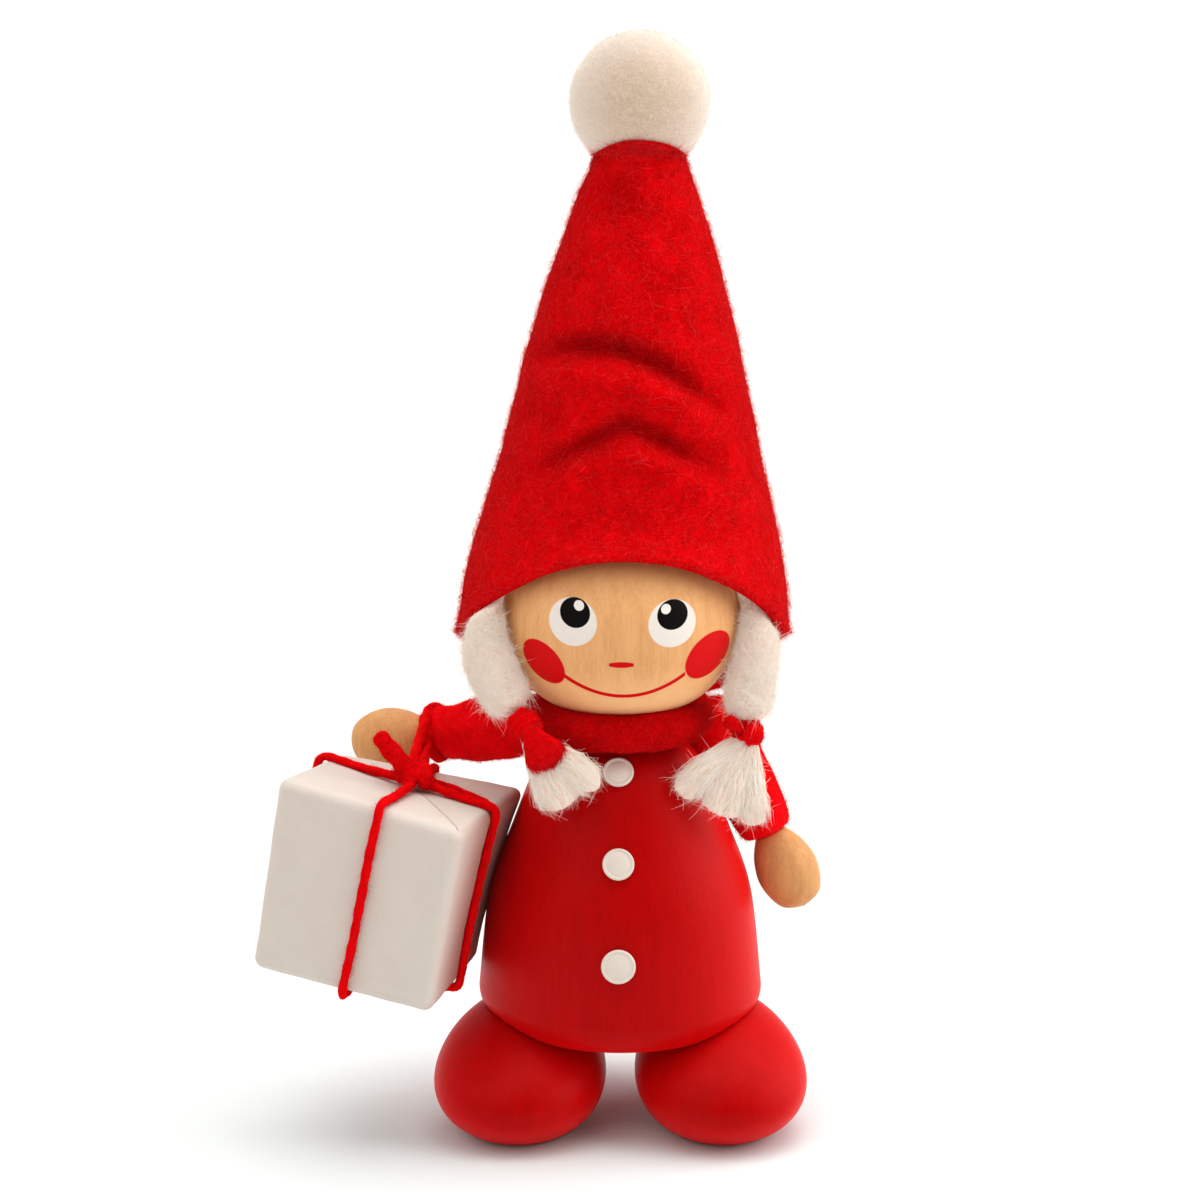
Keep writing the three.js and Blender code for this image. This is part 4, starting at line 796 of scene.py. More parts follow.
# The pompom's down fibres are given a painted glow that brightens its rim.
cream_fibre = fibre_finish("white_felt_fibre", (0.98, 0.90, 0.81, 1), (0.84, 0.72, 0.60, 1), 0.16)
down = nap(ball, 16000, 32, (0.3, 1.0), 1.3, 0.8)
from_middle = down[:, 0] - POMPOM_MIDDLE
tip_edge = hat_ring(np.ones(len(down)), np.arctan2(from_middle[:, 1], from_middle[:, 0]))
down = down[down[:, 0, 2] > tip_edge[:, 2] + DOWN_ABOVE_TIP]
fibres("pompom_nap", down, 0.014, 33, (cream_fibre, "figure", "white_felt"))

# Collar: a thick roll of red felted wool, rolled by hand. It is laid round the neck between body and head
# and sewn at the back.

COLLAR_RING_RADIUS, COLLAR_HALF, COLLAR_HALF_ABOVE = 11.0, 3.5, 2.4
COLLAR_MIDDLE = BODY_TOP + 0.9
COLLAR_OUTER = COLLAR_RING_RADIUS + COLLAR_HALF
COLLAR_CLEARANCE, COLLAR_LUMPS, COLLAR_LUMP_SIZE = 0.12, 0.2, 6.0


def collar_point(u, v):
    """The roll: a circle, pressed lower above its middle, carried round the neck, uneven where the wool
    bunches, and pushed out to the body's and the head's outsides where it lies against them."""
    turn, around = 2 * np.pi * v, 2 * np.pi * u
    half = np.where(np.sin(around) > 0, COLLAR_HALF_ABOVE, COLLAR_HALF)
    reach = COLLAR_RING_RADIUS + COLLAR_HALF * np.cos(around)
    height = COLLAR_MIDDLE + half * np.sin(around)
    plain = np.stack([reach * np.cos(turn), reach * np.sin(turn), height], -1)
    uneven = COLLAR_LUMPS * waves(plain, COLLAR_LUMP_SIZE, 41)
    reach, height = reach + uneven * np.cos(around), height + uneven * np.sin(around)
    body_radius = np.interp(height, body_side[:, 1], body_side[:, 0])
    body_radius = np.where(height > BODY_TOP, 0, body_radius)
    reach = np.maximum(reach, np.maximum(body_radius, head_radius(height)) + COLLAR_CLEARANCE)
    return np.stack([reach * np.cos(turn), reach * np.sin(turn), height], -1)


wool_felt = felt("red_wool_roll", (0.66, 0.001, 0.003, 1), (0.40, 0.0004, 0.001, 1), 1900, 0.5)
collar_rings = collar_point(*grid(181, 64))[:-1]
skin("collar", collar_rings, (wool_felt, "figure", "red_felt", "collar_roll"), closed=True)
collar_nap = nap(collar_point, 5000, 42, (0.4, 1.2), 0.5, 0.9)
fibres("collar_nap", collar_nap, 0.02, 43, (red_fibre, "figure", "red_felt"))

# Arms: a bendable wire runs through the shoulders into each arm. Red felted wool is rolled round it as a
# sleeve, and a hand turned from bare wood like a small egg is glued on its end.

SLEEVE_RADIUS, CUFF_RADIUS = 4.1, 3.8
HAND_LENGTH, HAND_RADIUS, HAND_NECK_RADIUS = 12.6, 4.75, 2.4
SHOULDER_ASIDE, SHOULDER_BACK, SHOULDER_HEIGHT = COLLAR_OUTER + 0.3, 5.2, BODY_TOP - 2.2
# Side, droop below level, sweep towards the back, the sleeve's length, the depth of the loop's groove, and
# how far the wool bags out underneath.
ARMS = {"right": (-1, 12, 21, 16.5, 0.9, 1.3), "left": (1, 64, -12, 18.8, 0.0, 2.0)}
WRIST_BEFORE_CUFF, LOOP_GROOVE_WIDTH = 1.7, 1.1
# The lapped edge of the wool: where it starts round the arm and its turn a millimetre, in radians, then
# how far its ridge stands out and its furrow lies in.
LAP_START, LAP_TWIST, LAP_RIDGE, LAP_FURROW = 0.9, 0.05, 0.35, 0.55
# Where the ridge and the furrow lie from the lap's start and how broad each is, then where the bag lies and
# how long it is as shares of the sleeve.
RIDGE_PLACE, FURROW_PLACE, BAG_FROM, BAG_LENGTH = (0.4, 0.3), (0.0, 0.16), 0.3, 0.42
SLEEVE_MEAN_RADIUS, SLEEVE_LUMPS, SLEEVE_LUMP_SIZE = 4, 0.3, 5.5


def arm_frame(word):
    """The shoulder, the way the arm points and two ways square to it."""
    side, droop, sweep = ARMS[word][:3]
    droop, sweep = np.radians(droop), np.radians(sweep)
    along = np.array([side * np.cos(droop) * np.cos(sweep), np.cos(droop) * np.sin(sweep), -np.sin(droop)])
    aside = np.cross(along, (0, 0, 1))
    aside /= np.linalg.norm(aside)
    shoulder = np.array([side * SHOULDER_ASIDE, SHOULDER_BACK, SHOULDER_HEIGHT])
    return shoulder, along, aside, np.cross(aside, along)


def on_arm(word, radius, way, turn):
    """Points at a radius and a turn about the arm's line, a way down it."""
    shoulder, along, aside, above = arm_frame(word)
    spoke = np.cos(turn)[..., None] * aside + np.sin(turn)[..., None] * above
    return shoulder + along * way[..., None] + radius[..., None] * spoke


def sleeve_point(word, u, v):
    """The sleeve: a round shoulder end, a slightly tapering tube with a lapped edge winding along it, and
    a cuff turned in at the end. A hanging loop draws in a groove before the cuff."""
    side, _, _, length, groove, bag = ARMS[word]
    outline = [
        (0.3, -SLEEVE_RADIUS), (2.6, -3.2), (3.9, -1.3), (SLEEVE_RADIUS, 1.5),
        (SLEEVE_RADIUS + 0.1, length * 0.35), (SLEEVE_RADIUS, length * 0.7),
        (CUFF_RADIUS + 0.15, length - 1.2), (CUFF_RADIUS - 0.7, length - 0.05), (1.2, length - 0.3),
    ]
    radius, way = np.moveaxis(spline(outline, v), -1, 0)
    turn = 2 * np.pi * u
    lap = np.angle(np.exp(1j * (turn - LAP_START - LAP_TWIST * way)))
    uneven = LAP_RIDGE * hill(lap, *RIDGE_PLACE) - LAP_FURROW * hill(lap, *FURROW_PLACE)
    from_shoulder = on_arm(word, SLEEVE_MEAN_RADIUS + 0 * way, way, turn) - arm_frame(word)[0]
    uneven = uneven + SLEEVE_LUMPS * waves(from_shoulder, SLEEVE_LUMP_SIZE, 51 + side)
    uneven = uneven - groove * hill(way, length - WRIST_BEFORE_CUFF, LOOP_GROOVE_WIDTH)
    bagging = (0.5 - 0.5 * np.sin(turn)) ** 2
    uneven = uneven + bag * bagging * hill(way, BAG_FROM * length, BAG_LENGTH * length)
    return on_arm(word, radius + uneven * np.clip(radius / 3, 0, 1), way, turn)


def hand_point(word, u, v):
    """The hand: an egg's outline turned about the arm, from its narrow neck in the cuff to its round
    end."""
    start = ARMS[word][3] + GAP
    outline = [(share * HAND_RADIUS, start + far * HAND_LENGTH) for share, far in (
        (HAND_NECK_RADIUS / HAND_RADIUS, 0), (0.86, 0.24), (1, 0.55), (0.7, 0.88), (0.03, 1))]
    radius, way = np.moveaxis(spline(outline, v), -1, 0)
    return on_arm(word, radius, way, 2 * np.pi * u)


wire_metal, tree, shader = finish_of("arm_wire", Metallic=1.0, Roughness=0.35)
feed(shader, Base_Color=mix(noise(stretched(tree, 3000)), (0.42, 0.42, 0.41, 1), (0.6, 0.6, 0.58, 1)))
keep(wire_metal, "shoulder_wire")
# The sleeves' felt is given a painted glow: emission that brightens it as if it were lit.
sleeve_felt = felt("red_sleeve", (1.0, 0.002, 0.006, 1), (0.78, 0.001, 0.003, 1), 1300, 0.9, 0.1)
for word, (side, *_) in ARMS.items():
    arm, sleeve = word + "_arm", partial(sleeve_point, word)
    skin("sleeve_" + word, sleeve(*grid(110, 80)), (sleeve_felt, arm, "red_felt", "arm_sleeve_" + word))
    sleeve_nap = nap(sleeve, 4500, 53 + side, (0.4, 1.6), 0.4, 0.9)
    fibres("sleeve_nap_" + word, sleeve_nap, 0.02, 56 + side, (red_fibre, arm, "red_felt"))
    skin("hand_egg_" + word, hand_point(word, *grid(70, 96)), (bare_wood, arm, "bare_wood", "hand_" + word))
    keep(wire_metal, "arm_wire_" + word)

# Hair: white carded wool, not spun, laid over the head as a band under the hat and hanging at each side as
# a thick soft pigtail, rubbed to a matted sausage, that shows beside the face.

# Down each pigtail: degrees forward of the side, height from the head's middle and distance off the head.
# Then its half widths, and the share of its line that the wool fills.
PIGTAILS = {
    "right": (-1, [(13, 9, 1.0), (16, 3.6, 2.2), (21, -3, 3.3), (28, -8, 4.3), (37, -12, 4.2),
                   (43, -14.2, 3.8)], (2.4, 2.8, 3.6, 4.3, 4.4, 4.0), 0.9),
    "left": (1, [(5, 9, 0.5), (8, 3, 1.6), (13, -3, 2.9), (18, -8, 4.2), (21, -12, 5.4),
                 (23, -14.9, 5.4)], (2.0, 2.4, 3.0, 3.7, 3.7, 3.3), 1.0),
}
PIGTAIL_HALF_THICKNESSES = (0.8, 1.3, 2.1, 3.0, 3.3, 3.0)
# A second point this far, in metres, below the hinge under the brim, given with the pigtail's two
# bodies; nothing bends the wool over it.
PIGTAIL_BEND = 0.007
# Shares of its length: where its ends round off, and from where and how far it shows.
PIGTAIL_TOP, PIGTAIL_END, PIGTAIL_SEEN_FROM, PIGTAIL_SEEN = 0.05, 0.13, 0.36, 0.58
PIGTAIL_LUMPS, PIGTAIL_LUMP_SIZE, FURROW_DEPTH, FURROW_TURNS, FURROW_WIDTH = 0.05, 6.5, 0.09, 1.9, 0.28
HAIR_CLEARANCE, LEAST_PULL = 0.5, 0.02
TIES = {"right": np.array([-12.9, -13.4, 62.3]), "left": np.array([18.8, -8.0, 61.4])}
# The white wool's colours, and the strength of its painted glow, emission standing in for light through it.
WOOL_LIGHT, WOOL_DARK, WOOL_GLOW = (0.97, 0.87, 0.77, 1), (0.70, 0.55, 0.43, 1), 0.09
BAND_HALF_WIDTH, BAND_HALF_THICKNESS = 3.0, 1.0


def even(points, count):
    """A smooth line through points, as count points evenly spaced by length."""
    line = spline(points, np.linspace(0, 1, 400))
    run = np.concatenate([[0], np.cumsum(np.linalg.norm(np.diff(line, axis=0), axis=1))])
    share = np.linspace(0, run[-1], count)
    return np.stack([np.interp(share, run, line[:, i]) for i in range(3)], 1)


def swept(line, side, wide, thick, u, v):
    """Points of a tube: an ellipse of half sizes wide and thick carried along a line of evenly spaced
    points, with its wide axis near a steady side direction."""
    share = np.clip(v, 0, 1) * (len(line) - 1)
    at = np.minimum(share.astype(int), len(line) - 2)
    rest = (share - at)[..., None]
    tangent = np.gradient(line, axis=0)
    middle, along = (values[at] * (1 - rest) + values[at + 1] * rest for values in (line, tangent))
    along /= np.linalg.norm(along, axis=-1, keepdims=True)
    across = side - along * (along @ np.asarray(side, float))[..., None]
    across /= np.linalg.norm(across, axis=-1, keepdims=True)
    out = np.cross(along, across)
    turn = 2 * np.pi * u[..., None]
    return middle + across * wide[..., None] * np.cos(turn) + out * thick[..., None] * np.sin(turn)


def rounded(v, start, end):
    """A share that closes a tube's ends like half balls, over the first and last shares given of its
    length."""
    near = np.clip((start - v) / start if start else 0 * v, 0, 1)
    far = np.clip((v - 1 + end) / end if end else 0 * v, 0, 1)
    return np.sqrt(np.clip(1 - np.maximum(near, far) ** 2, 0.0004, 1))


def pigtail_line(word):
    """The middle of a pigtail: down the outside of the head and the collar at a small distance."""
    side, stops = PIGTAILS[word][:2]
    turn, rise, off = np.array(stops, float).T
    turn, height = np.radians(turn), HEAD_MIDDLE + rise
    reach = np.maximum(head_radius(height), COLLAR_OUTER) + HAIR_CLEARANCE + off
    return even(np.stack([side * reach * np.cos(turn), -reach * np.sin(turn), height], 1), 80)


def tucked(points):
    """Points kept inside the hat: above the brim, each is drawn in along its ring of the hat to the
    wall."""
    ring, middle = hat_line(np.linspace(0, 0.35, 60))
    tilt = np.radians(ring[:, 3])
    square = np.stack([0 * tilt, np.sin(tilt), np.cos(tilt)], -1)
    level = np.stack([0 * tilt, np.cos(tilt), -np.sin(tilt)], -1)
    above = points @ square.T - (middle * square).sum(axis=1)
    at = np.maximum((above > 0).sum(axis=-1) - 1, 0)
    from_middle = points - middle[at]
    across, along = from_middle[..., 0], (from_middle * level[at]).sum(axis=-1)
    wall = HAT_WALL + HAIR_CLEARANCE
    share = np.hypot(across / (ring[at, 4] - wall), along / (ring[at, 5] - wall))
    pull = (1 - 1 / np.maximum(share, 1)) * np.clip(0.5 + (above[..., 0] + HAT_SIDE_DIP) / 2, 0, 1)
    return points - pull[..., None] * (across[..., None] * (1, 0, 0) + along[..., None] * level[at])


def pigtail_point(word, u, v):
    """A pigtail: an ellipse tube that swells downwards and ends like half a ball, with slow lumps and, on
    the left, the shallow furrow of a twist. Its top is tucked into the hat."""
    side, _, widths, filled = PIGTAILS[word]
    tube = partial(swept, even(pigtail_line(word)[:int(80 * filled)], 80), (side * 0.5, 0.85, 0))
    wide, thick = (spline(sizes, v) for sizes in (widths, PIGTAIL_HALF_THICKNESSES))
    lump = PIGTAIL_LUMPS * waves(tube(wide, thick, u, v), PIGTAIL_LUMP_SIZE, 71 + side)
    furrow = hill(np.sin(np.pi * (u + FURROW_TURNS * v + 0.1)), 0, FURROW_WIDTH)
    furrow = -FURROW_DEPTH * max(side, 0) * furrow
    grow = (1 + lump + furrow) * rounded(v, PIGTAIL_TOP, PIGTAIL_END)
    return tucked(tube(wide * grow, thick * grow, u, v))


def pigtail_outside(word, u, v):
    """A pigtail between the hat's brim and the tie."""
    return pigtail_point(word, u, PIGTAIL_SEEN_FROM + PIGTAIL_SEEN * v)


def below_brim(paths):
    """The fibres that stay clear of the hat: those that would not be drawn in under it."""
    return paths[np.abs(tucked(paths) - paths).max(axis=(1, 2)) < LEAST_PULL]


# Carded wool: fine strands drawn out along the UV map's length, with darker hollows between them, partly
# the wool's own tone and partly painted shade between the strands.
carded_wool, given, put = effect("carded_wool", LOOK_INPUTS, LOOK_OUTPUTS)
strand, hollow = noise(given["Vector"], 1.0, 5.0, 0.65, 0.8), noise(given["Vector"], 0.2, 3.0)
both = hollow * 0.5 + strand * 0.8
feed(put, Colour=mix(both.steps(0.4, 0.75), given["Dark"], given["Light"]), Height=strand)


def wool(name, light, dark, size, glow=0.0):
    """A finish of carded or spun wool whose strands run along the UV map, with a painted glow: emission as
    strong as the glow given.
    """
    made, tree, shader = finish_of(name, Roughness=0.95, Specular_IOR_Level=0.03, Emission_Strength=glow)
    look = look_of(carded_wool, stretched(tree, *size, source="UV"), light, dark)
    colour = look["Colour"]
    feed(shader, Base_Color=colour, Emission_Color=colour, Normal=bump(look["Height"], 0.7, 0.00025))
    return made


# Painted sheen: the white wool is painted whiter where it is seen from the side.
white_wool = felt("white_wool", WOOL_LIGHT, WOOL_DARK, 1000, 0.8, WOOL_GLOW, rim=(0.5, PAINTED_SHEEN_WHITE))
drawn_wool = wool("white_wool_drawn", (0.94, 0.82, 0.70, 1), (0.74, 0.56, 0.44, 1), (30, 6, 1), WOOL_GLOW)
# The wool's loose fibres are given a painted glow as well.
wool_fibre = fibre_finish("white_wool_fibre", (1.0, 0.96, 0.91, 1), (0.88, 0.76, 0.65, 1), 0.13)

over = np.radians(np.linspace(14, 166, 11))
way = np.stack([-np.cos(over), -0.2 * (1 - np.sin(over)), np.sin(over)], 1)
way /= np.linalg.norm(way, axis=1, keepdims=True)
level, upright = np.linalg.norm(way[:, :2], axis=1) / HEAD_RADIUS, way[:, 2] / HEAD_HALF_HEIGHT
reach = (level ** HEAD_FULLNESS + upright ** HEAD_FULLNESS) ** (-1 / HEAD_FULLNESS)
reach = reach + BAND_HALF_THICKNESS + GAP
band = even(way * reach[:, None] + (0, 0, HEAD_MIDDLE), 80)
u, v = grid(80, 40)
band_rings = swept(band, (0, 1, 0), BAND_HALF_WIDTH + 0 * v, BAND_HALF_THICKNESS + 0 * v, u, v)
skin("hair_over_head", band_rings, (white_wool, "figure", "white_wool", "hair_band"))

hinges = {joint["name"]: np.array(joint["pos_m"]) for joint in frame["joints"]}
for word, (side, *_) in PIGTAILS.items():
    hinge, outside = hinges[word + "_pigtail_swing"], partial(pigtail_outside, word)
    hung = ("figure", word + "_pigtail", tuple(hinge), tuple(hinge - (0, 0, PIGTAIL_BEND)))
    hank = pigtail_point(word, *grid(130, 80))
    skin("pigtail_wool_" + word, hank, (white_wool, hung, "white_wool", "pigtail_" + word))
    fuzz = below_brim(nap(outside, 10500, 73 + side, (0.4, 1.3), 0.5, 1.4))
    fibres("pigtail_fuzz_" + word, fuzz, 0.017, 76 + side, (wool_fibre, hung, "white_wool"))
    hairs = below_brim(nap(outside, 3400, 79 + side, (1.0, 2.8), 0.2, 1.8, 5))
    fibres("pigtail_hairs_" + word, hairs, 0.024, 82 + side, (wool_fibre, hung, "white_wool"))

# Ties: a few turns of red wool yarn drawn tight round each pigtail and knotted, with the ends left as a
# tuft on the right and as two stubs on the left. Below them the loose ends of the hair fan out as a
# tassel.

YARN_RED, YARN_DEEP_RED = (0.86, 0.0012, 0.0035, 1), (0.52, 0.0004, 0.001, 1)
red_wool = wool("red_yarn", YARN_RED, YARN_DEEP_RED, (14, 40, 1))
yarn_fibre = fibre_finish("red_yarn_fibre", (0.86, 0.012, 0.016, 1), (0.55, 0.0006, 0.002, 1))
# Each lock of a tassel: where it ends from the tie, its half width and half thickness there, and how blunt
# it is.
TASSELS = {
    "right": [((4.4, -3.6, -10.0), 3.2, 1.8, 0.22), ((9.6, -3.4, -6.9), 2.1, 1.6, 0.22)],
    "left": [((-10.2, -4.0, -8.4), 2.1, 1.2, 0.08), ((-4.1, -4.0, -11.6), 3.3, 1.2, 0.08),
             ((1.0, -3.5, -13.3), 1.9, 1.2, 0.08)],
}
TASSEL_CURLS, TASSEL_CRIMP = 130, 0.46
LOCK_CORE, LOCK_LUMPS, LOCK_LUMP_SIZE = 0.9, 0.14, 2.2
# The straighter fibres of each lock: how many, how far out they lie and how far they stray.
TASSEL_FIBRES = {"strands": (170, 1.0, 0.3), "hairs": (420, 1.1, 0.6)}
TASSEL_RADII = {"strands": 0.13, "hairs": 0.04, "curls": 0.025}


def lock_line(tie, reach):
    """A lock's middle: from the tie straight to its end, bowed a little forward."""
    halfway = 0.5 * np.array(reach) + (0, -0.7, 0.3)
    return even(tie + np.array([(0, 0, 0.6), (0, -0.6, -0.8), halfway, reach]), 40)


def lock_point(middle, half_width, half_thickness, blunt, spread, u, v):
    """A lock: an ellipse that widens from the tie, spread by a share of its size, and closes over its last
    part."""
    across = (middle[-1] - middle[0])[[2, 1, 0]] * (-1, 0, 1)
    wide = spline((1.1, 0.55 * half_width + 0.4, 0.9 * half_width, half_width), v)
    thick = spline((1.1, 1.2, half_thickness, half_thickness), v)
    size = spread * rounded(v, 0, blunt)
    return swept(middle, across, wide * size, thick * size, u, v)


def lock_outside(lock, blunt, u, v):
    """A lock without its narrow start."""
    return lock(blunt, 1.0, u, 0.2 + 0.8 * v)


for word, locks in TASSELS.items():
    side, hair, tie = PIGTAILS[word][0], word + "_pigtail", TIES[word]
    bunches = {name: [] for name in TASSEL_RADII}
    for number, (reach, half_width, half_thickness, blunt) in enumerate(locks):
        chance = np.random.default_rng(90 + 10 * side + number)
        lock = partial(lock_point, lock_line(tie, reach), half_width, half_thickness)
        u, v = grid(70, 60)
        core = lock(blunt, LOCK_CORE, u, v)
        lump = waves(core, LOCK_LUMP_SIZE, 95 + number) * rounded(v, 0, blunt)
        core += LOCK_LUMPS * lump[..., None]
        nodes = ("pigtail_tassel_" + word,) if number == 0 else ()
        skin("tassel_lock_%s_%d" % (word, number + 1), core, (drawn_wool, hair, "white_wool", *nodes))
        for name, (many, spread, wander) in TASSEL_FIBRES.items():
            angle = chance.uniform(0, 1, (many, 1))
            size = spread * np.sqrt(chance.uniform(0.55, 1.0, (many, 1)))
            share = np.linspace(0, 1, 9) * chance.uniform(0.86, 1.0, (many, 1))
            path = lock(0.5 * blunt, size, angle + 0 * share, share)
            share = share[..., None]
            crimp = np.sin(share * chance.uniform(9, 20, (many, 1, 1)) + chance.uniform(0, 6, (many, 1, 3)))
            stray = chance.normal(size=(many, 1, 3)) * wander * share ** 2
            bunches[name].append(path + TASSEL_CRIMP * crimp * share ** 0.5 + stray)
        outside, seed = partial(lock_outside, lock, blunt), 97 + 3 * side + number
        bunches["curls"].append(nap(outside, TASSEL_CURLS, seed, (0.8, 2.0), 0.6, 2.0, 10))
    for name, radius in TASSEL_RADII.items():
        paths = np.concatenate(bunches[name])
        fibres("tassel_%s_%s" % (name, word), paths, radius, 100 + side, (wool_fibre, hair, "white_wool"))

# The windings: three turns of soft yarn, side by side round the narrow place above the tassel.
WINDING_RADII, WINDING_STEP, WINDING_YARN = (1.5, 1.7, 1.5), 0.95, 0.7
WINDING_PLY, WINDING_PLY_TURN, WINDING_END = 0.12, 90, 0.02
WINDING_PLACES = {"right": TIES["right"] + (-1.3, -0.6, 2.1), "left": TIES["left"] + (0, -0.3, 0.4)}


def winding_outside(coil, downward, u, v):
    """The windings as a plain round tube."""
    return swept(coil, downward, WINDING_YARN + 0 * v, WINDING_YARN + 0 * v, u, v)


for word, tie in WINDING_PLACES.items():
    side, hair = PIGTAILS[word][0], word + "_pigtail"
    line = pigtail_line(word)
    downward = line[-1] - line[-6]
    downward /= np.linalg.norm(downward)
    across = np.cross(downward, (0.3, 1, 0.2))
    across /= np.linalg.norm(across)
    turn = np.linspace(0, 6 * np.pi, 25)[:, None]
    radius = spline(WINDING_RADII, turn[:, 0] / turn[-1, 0])[:, None]
    coil = tie + downward * (turn / (2 * np.pi) - 1.5) * WINDING_STEP
    coil = even(coil + radius * (np.cos(turn) * across + np.sin(turn) * np.cross(downward, across)), 260)
    u, v = grid(260, 16)
    size = WINDING_YARN * (1 + WINDING_PLY * np.sin(WINDING_PLY_TURN * v + 4 * np.pi * u))
    size = size * rounded(v, WINDING_END, WINDING_END)
    rings = swept(coil, downward, size, size, u, v)
    skin("tie_yarn_" + word, rings, (red_wool, hair, "red_yarn", "pigtail_tie_" + word))
    fuzz = nap(partial(winding_outside, coil, downward), 900, 104 + side, (0.3, 1.2), 0.5, 0.9, 4)
    fibres("tie_fuzz_" + word, fuzz, 0.02, 107 + side, (yarn_fibre, hair, "red_yarn"))

# The right tie's end: a tuft of red wool combed out like a brush, fanned from the knot over the tassel.
TUFT_STOPS = TIES["right"] + np.array([(-0.9, -3.3, 2.5), (0.8, -4.1, -0.1), (2.8, -4.4, -3.1)])
TUFT_ACROSS, TUFT_RIBS, TUFT_RIB_HEIGHT, TUFT_ROOT = (0.83, 0.0, 0.55), 11, 0.06, 0.08
COMBED_FROM, COMBED_SPAN, COMBED_STEP = 0.01, 0.98, 0.004


def tuft_point(u, v):
    """The tuft: a flat fan from the knot that widens to a round end, ribbed along its length."""
    size = rounded(v, 0.06, 0.34) * (1 + TUFT_RIB_HEIGHT * np.sin(2 * np.pi * TUFT_RIBS * u) * v)
    wide, thick = (spline(sizes, v) * size for sizes in ((1.0, 1.9, 2.9, 3.4), (0.7, 1.2, 1.6, 1.6)))
    return swept(even(TUFT_STOPS, 40), TUFT_ACROSS, wide, thick, u, v)


def combed(surface, count, seed, length, lift, curl, points, wander):
    """Paths of fibres lying down a surface(u, v): each follows v from where it starts, strays sideways a
    little, and lifts off the surface towards its tip."""
    chance = np.random.default_rng(seed)
    u, v = chance.uniform(0, 1, (2, count))
    v = COMBED_FROM + COMBED_SPAN * v
    here = surface(u, v)
    round_it, along_it = surface(u + COMBED_STEP, v) - here, surface(u, v + COMBED_STEP) - here
    square = np.cross(round_it, along_it)
    square *= np.sign(np.einsum("ij,ij->i", square, here - surface(u + 0.5, v)))[:, None]
    square, round_it, along_it = (
        w / (np.linalg.norm(w, axis=1, keepdims=True) + 1e-12) for w in (square, round_it, along_it))
    way = along_it + wander * chance.normal(size=(count, 1)) * round_it
    way += lift * chance.uniform(0, 1, (count, 1)) * square
    bend = curl * (chance.normal(size=(count, 1)) * round_it + 0.5 * chance.normal(size=(count, 1)) * square)
    return grown(here - TUFT_ROOT * square, way, bend, chance.uniform(*length, (count, 1, 1)), points)


tuft_wear = (red_wool, "right_pigtail", "red_yarn", "pigtail_bow_right")
skin("tie_tuft_right", tuft_point(*grid(70, 110)), tuft_wear)
tuft_strands = combed(tuft_point, 2200, 111, (0.8, 2.2), 0.05, 0.12, 4, 0.1)
fibres("tie_tuft_strands", tuft_strands, 0.03, 112, (yarn_fibre, "right_pigtail", "red_yarn"))

# The left tie's knot: one stub of the yarn's end standing off to the side, and one round lump in front.
# Each: its stops from the tie, its radii along them, how blunt its ends are, and the solid that it stands
# for.
STUBS = [
    ([(-0.4, -2.0, 0.9), (-1.9, -2.9, 2.0), (-3.4, -3.0, 3.0)], (0.75, 0.85, 1.3), 0.3,
     ["pigtail_bow_left"]),
    ([(-0.5, -2.4, 0.5), (0.9, -3.3, 0.6), (2.2, -3.0, 0.5)], (1.4, 1.65, 1.4), 0.45, []),
]


def stub_point(stops, sizes, blunt, u, v):
    """One stub: a round, uneven end of yarn."""
    size = spline(sizes, v) * rounded(v, blunt, blunt)
    size = size * (1 + 0.1 * np.sin(2 * np.pi * (3 * u + 1.5 * v)))
    return swept(even(TIES["left"] + np.array(stops), 40), (0.2, 0.9, 0.4), size, size * 0.95, u, v)


for number, (*form, nodes) in enumerate(STUBS):
    stub, label = partial(stub_point, *form), str(number + 1)
    skin("tie_stub_left_" + label, stub(*grid(50, 48)), (red_wool, "left_pigtail", "red_yarn", *nodes))
    fuzz = nap(stub, 450, 124 + number, (0.3, 1.0), 0.5, 0.9, 4)
    fibres("tie_stub_fuzz_" + label, fuzz, 0.02, 126 + number, (yarn_fibre, "left_pigtail", "red_yarn"))

# Gift: a small wooden block wrapped in plain white paper, with the ends folded under and pressed to soft
# edges. One long fold shows on the top, running from the knot to the near corner.

GIFT_HALF = 14.3
GIFT_MIDDLE = np.array([-36.29, -9.0, 39.7])
PAPER_ROUNDING, PAPER_STANDS_OFF, PAPER_UNEVEN, EDGE_CROWDING = 1.7, 0.7, 0.06, 1.35
GIFT_ROLL, GIFT_YAW = np.radians(9.7), np.radians(-12)
ROLLED = [(np.cos(GIFT_ROLL), 0, np.sin(GIFT_ROLL)), (0, 1, 0), (-np.sin(GIFT_ROLL), 0, np.cos(GIFT_ROLL))]
YAWED = [(np.cos(GIFT_YAW), -np.sin(GIFT_YAW), 0), (np.sin(GIFT_YAW), np.cos(GIFT_YAW), 0), (0, 0, 1)]
GIFT_TURN = np.array(ROLLED) @ np.array(YAWED)
KNOT = np.array([1.9, 0.3, GIFT_HALF + 1.3])
FOLD_END = np.array([GIFT_HALF - 0.9, 0.9 - GIFT_HALF])
GIFT_NARROW, GIFT_RAISE, COCKLE_LONG, COCKLE_SHORT = 0.8, 0.6, 8.0, 3.0
# How far the top's corners are out of true, across and up: near left, near right, far left, far right.
GIFT_TOP_CORNERS = np.array([(-0.3, 0.9), (0.3, -0.5), (0.9, -1.2), (3.0, 0.0)])
PAPER_WHITE, PAPER_GREY = (0.74, 0.68, 0.625, 1), (0.64, 0.57, 0.51, 1)
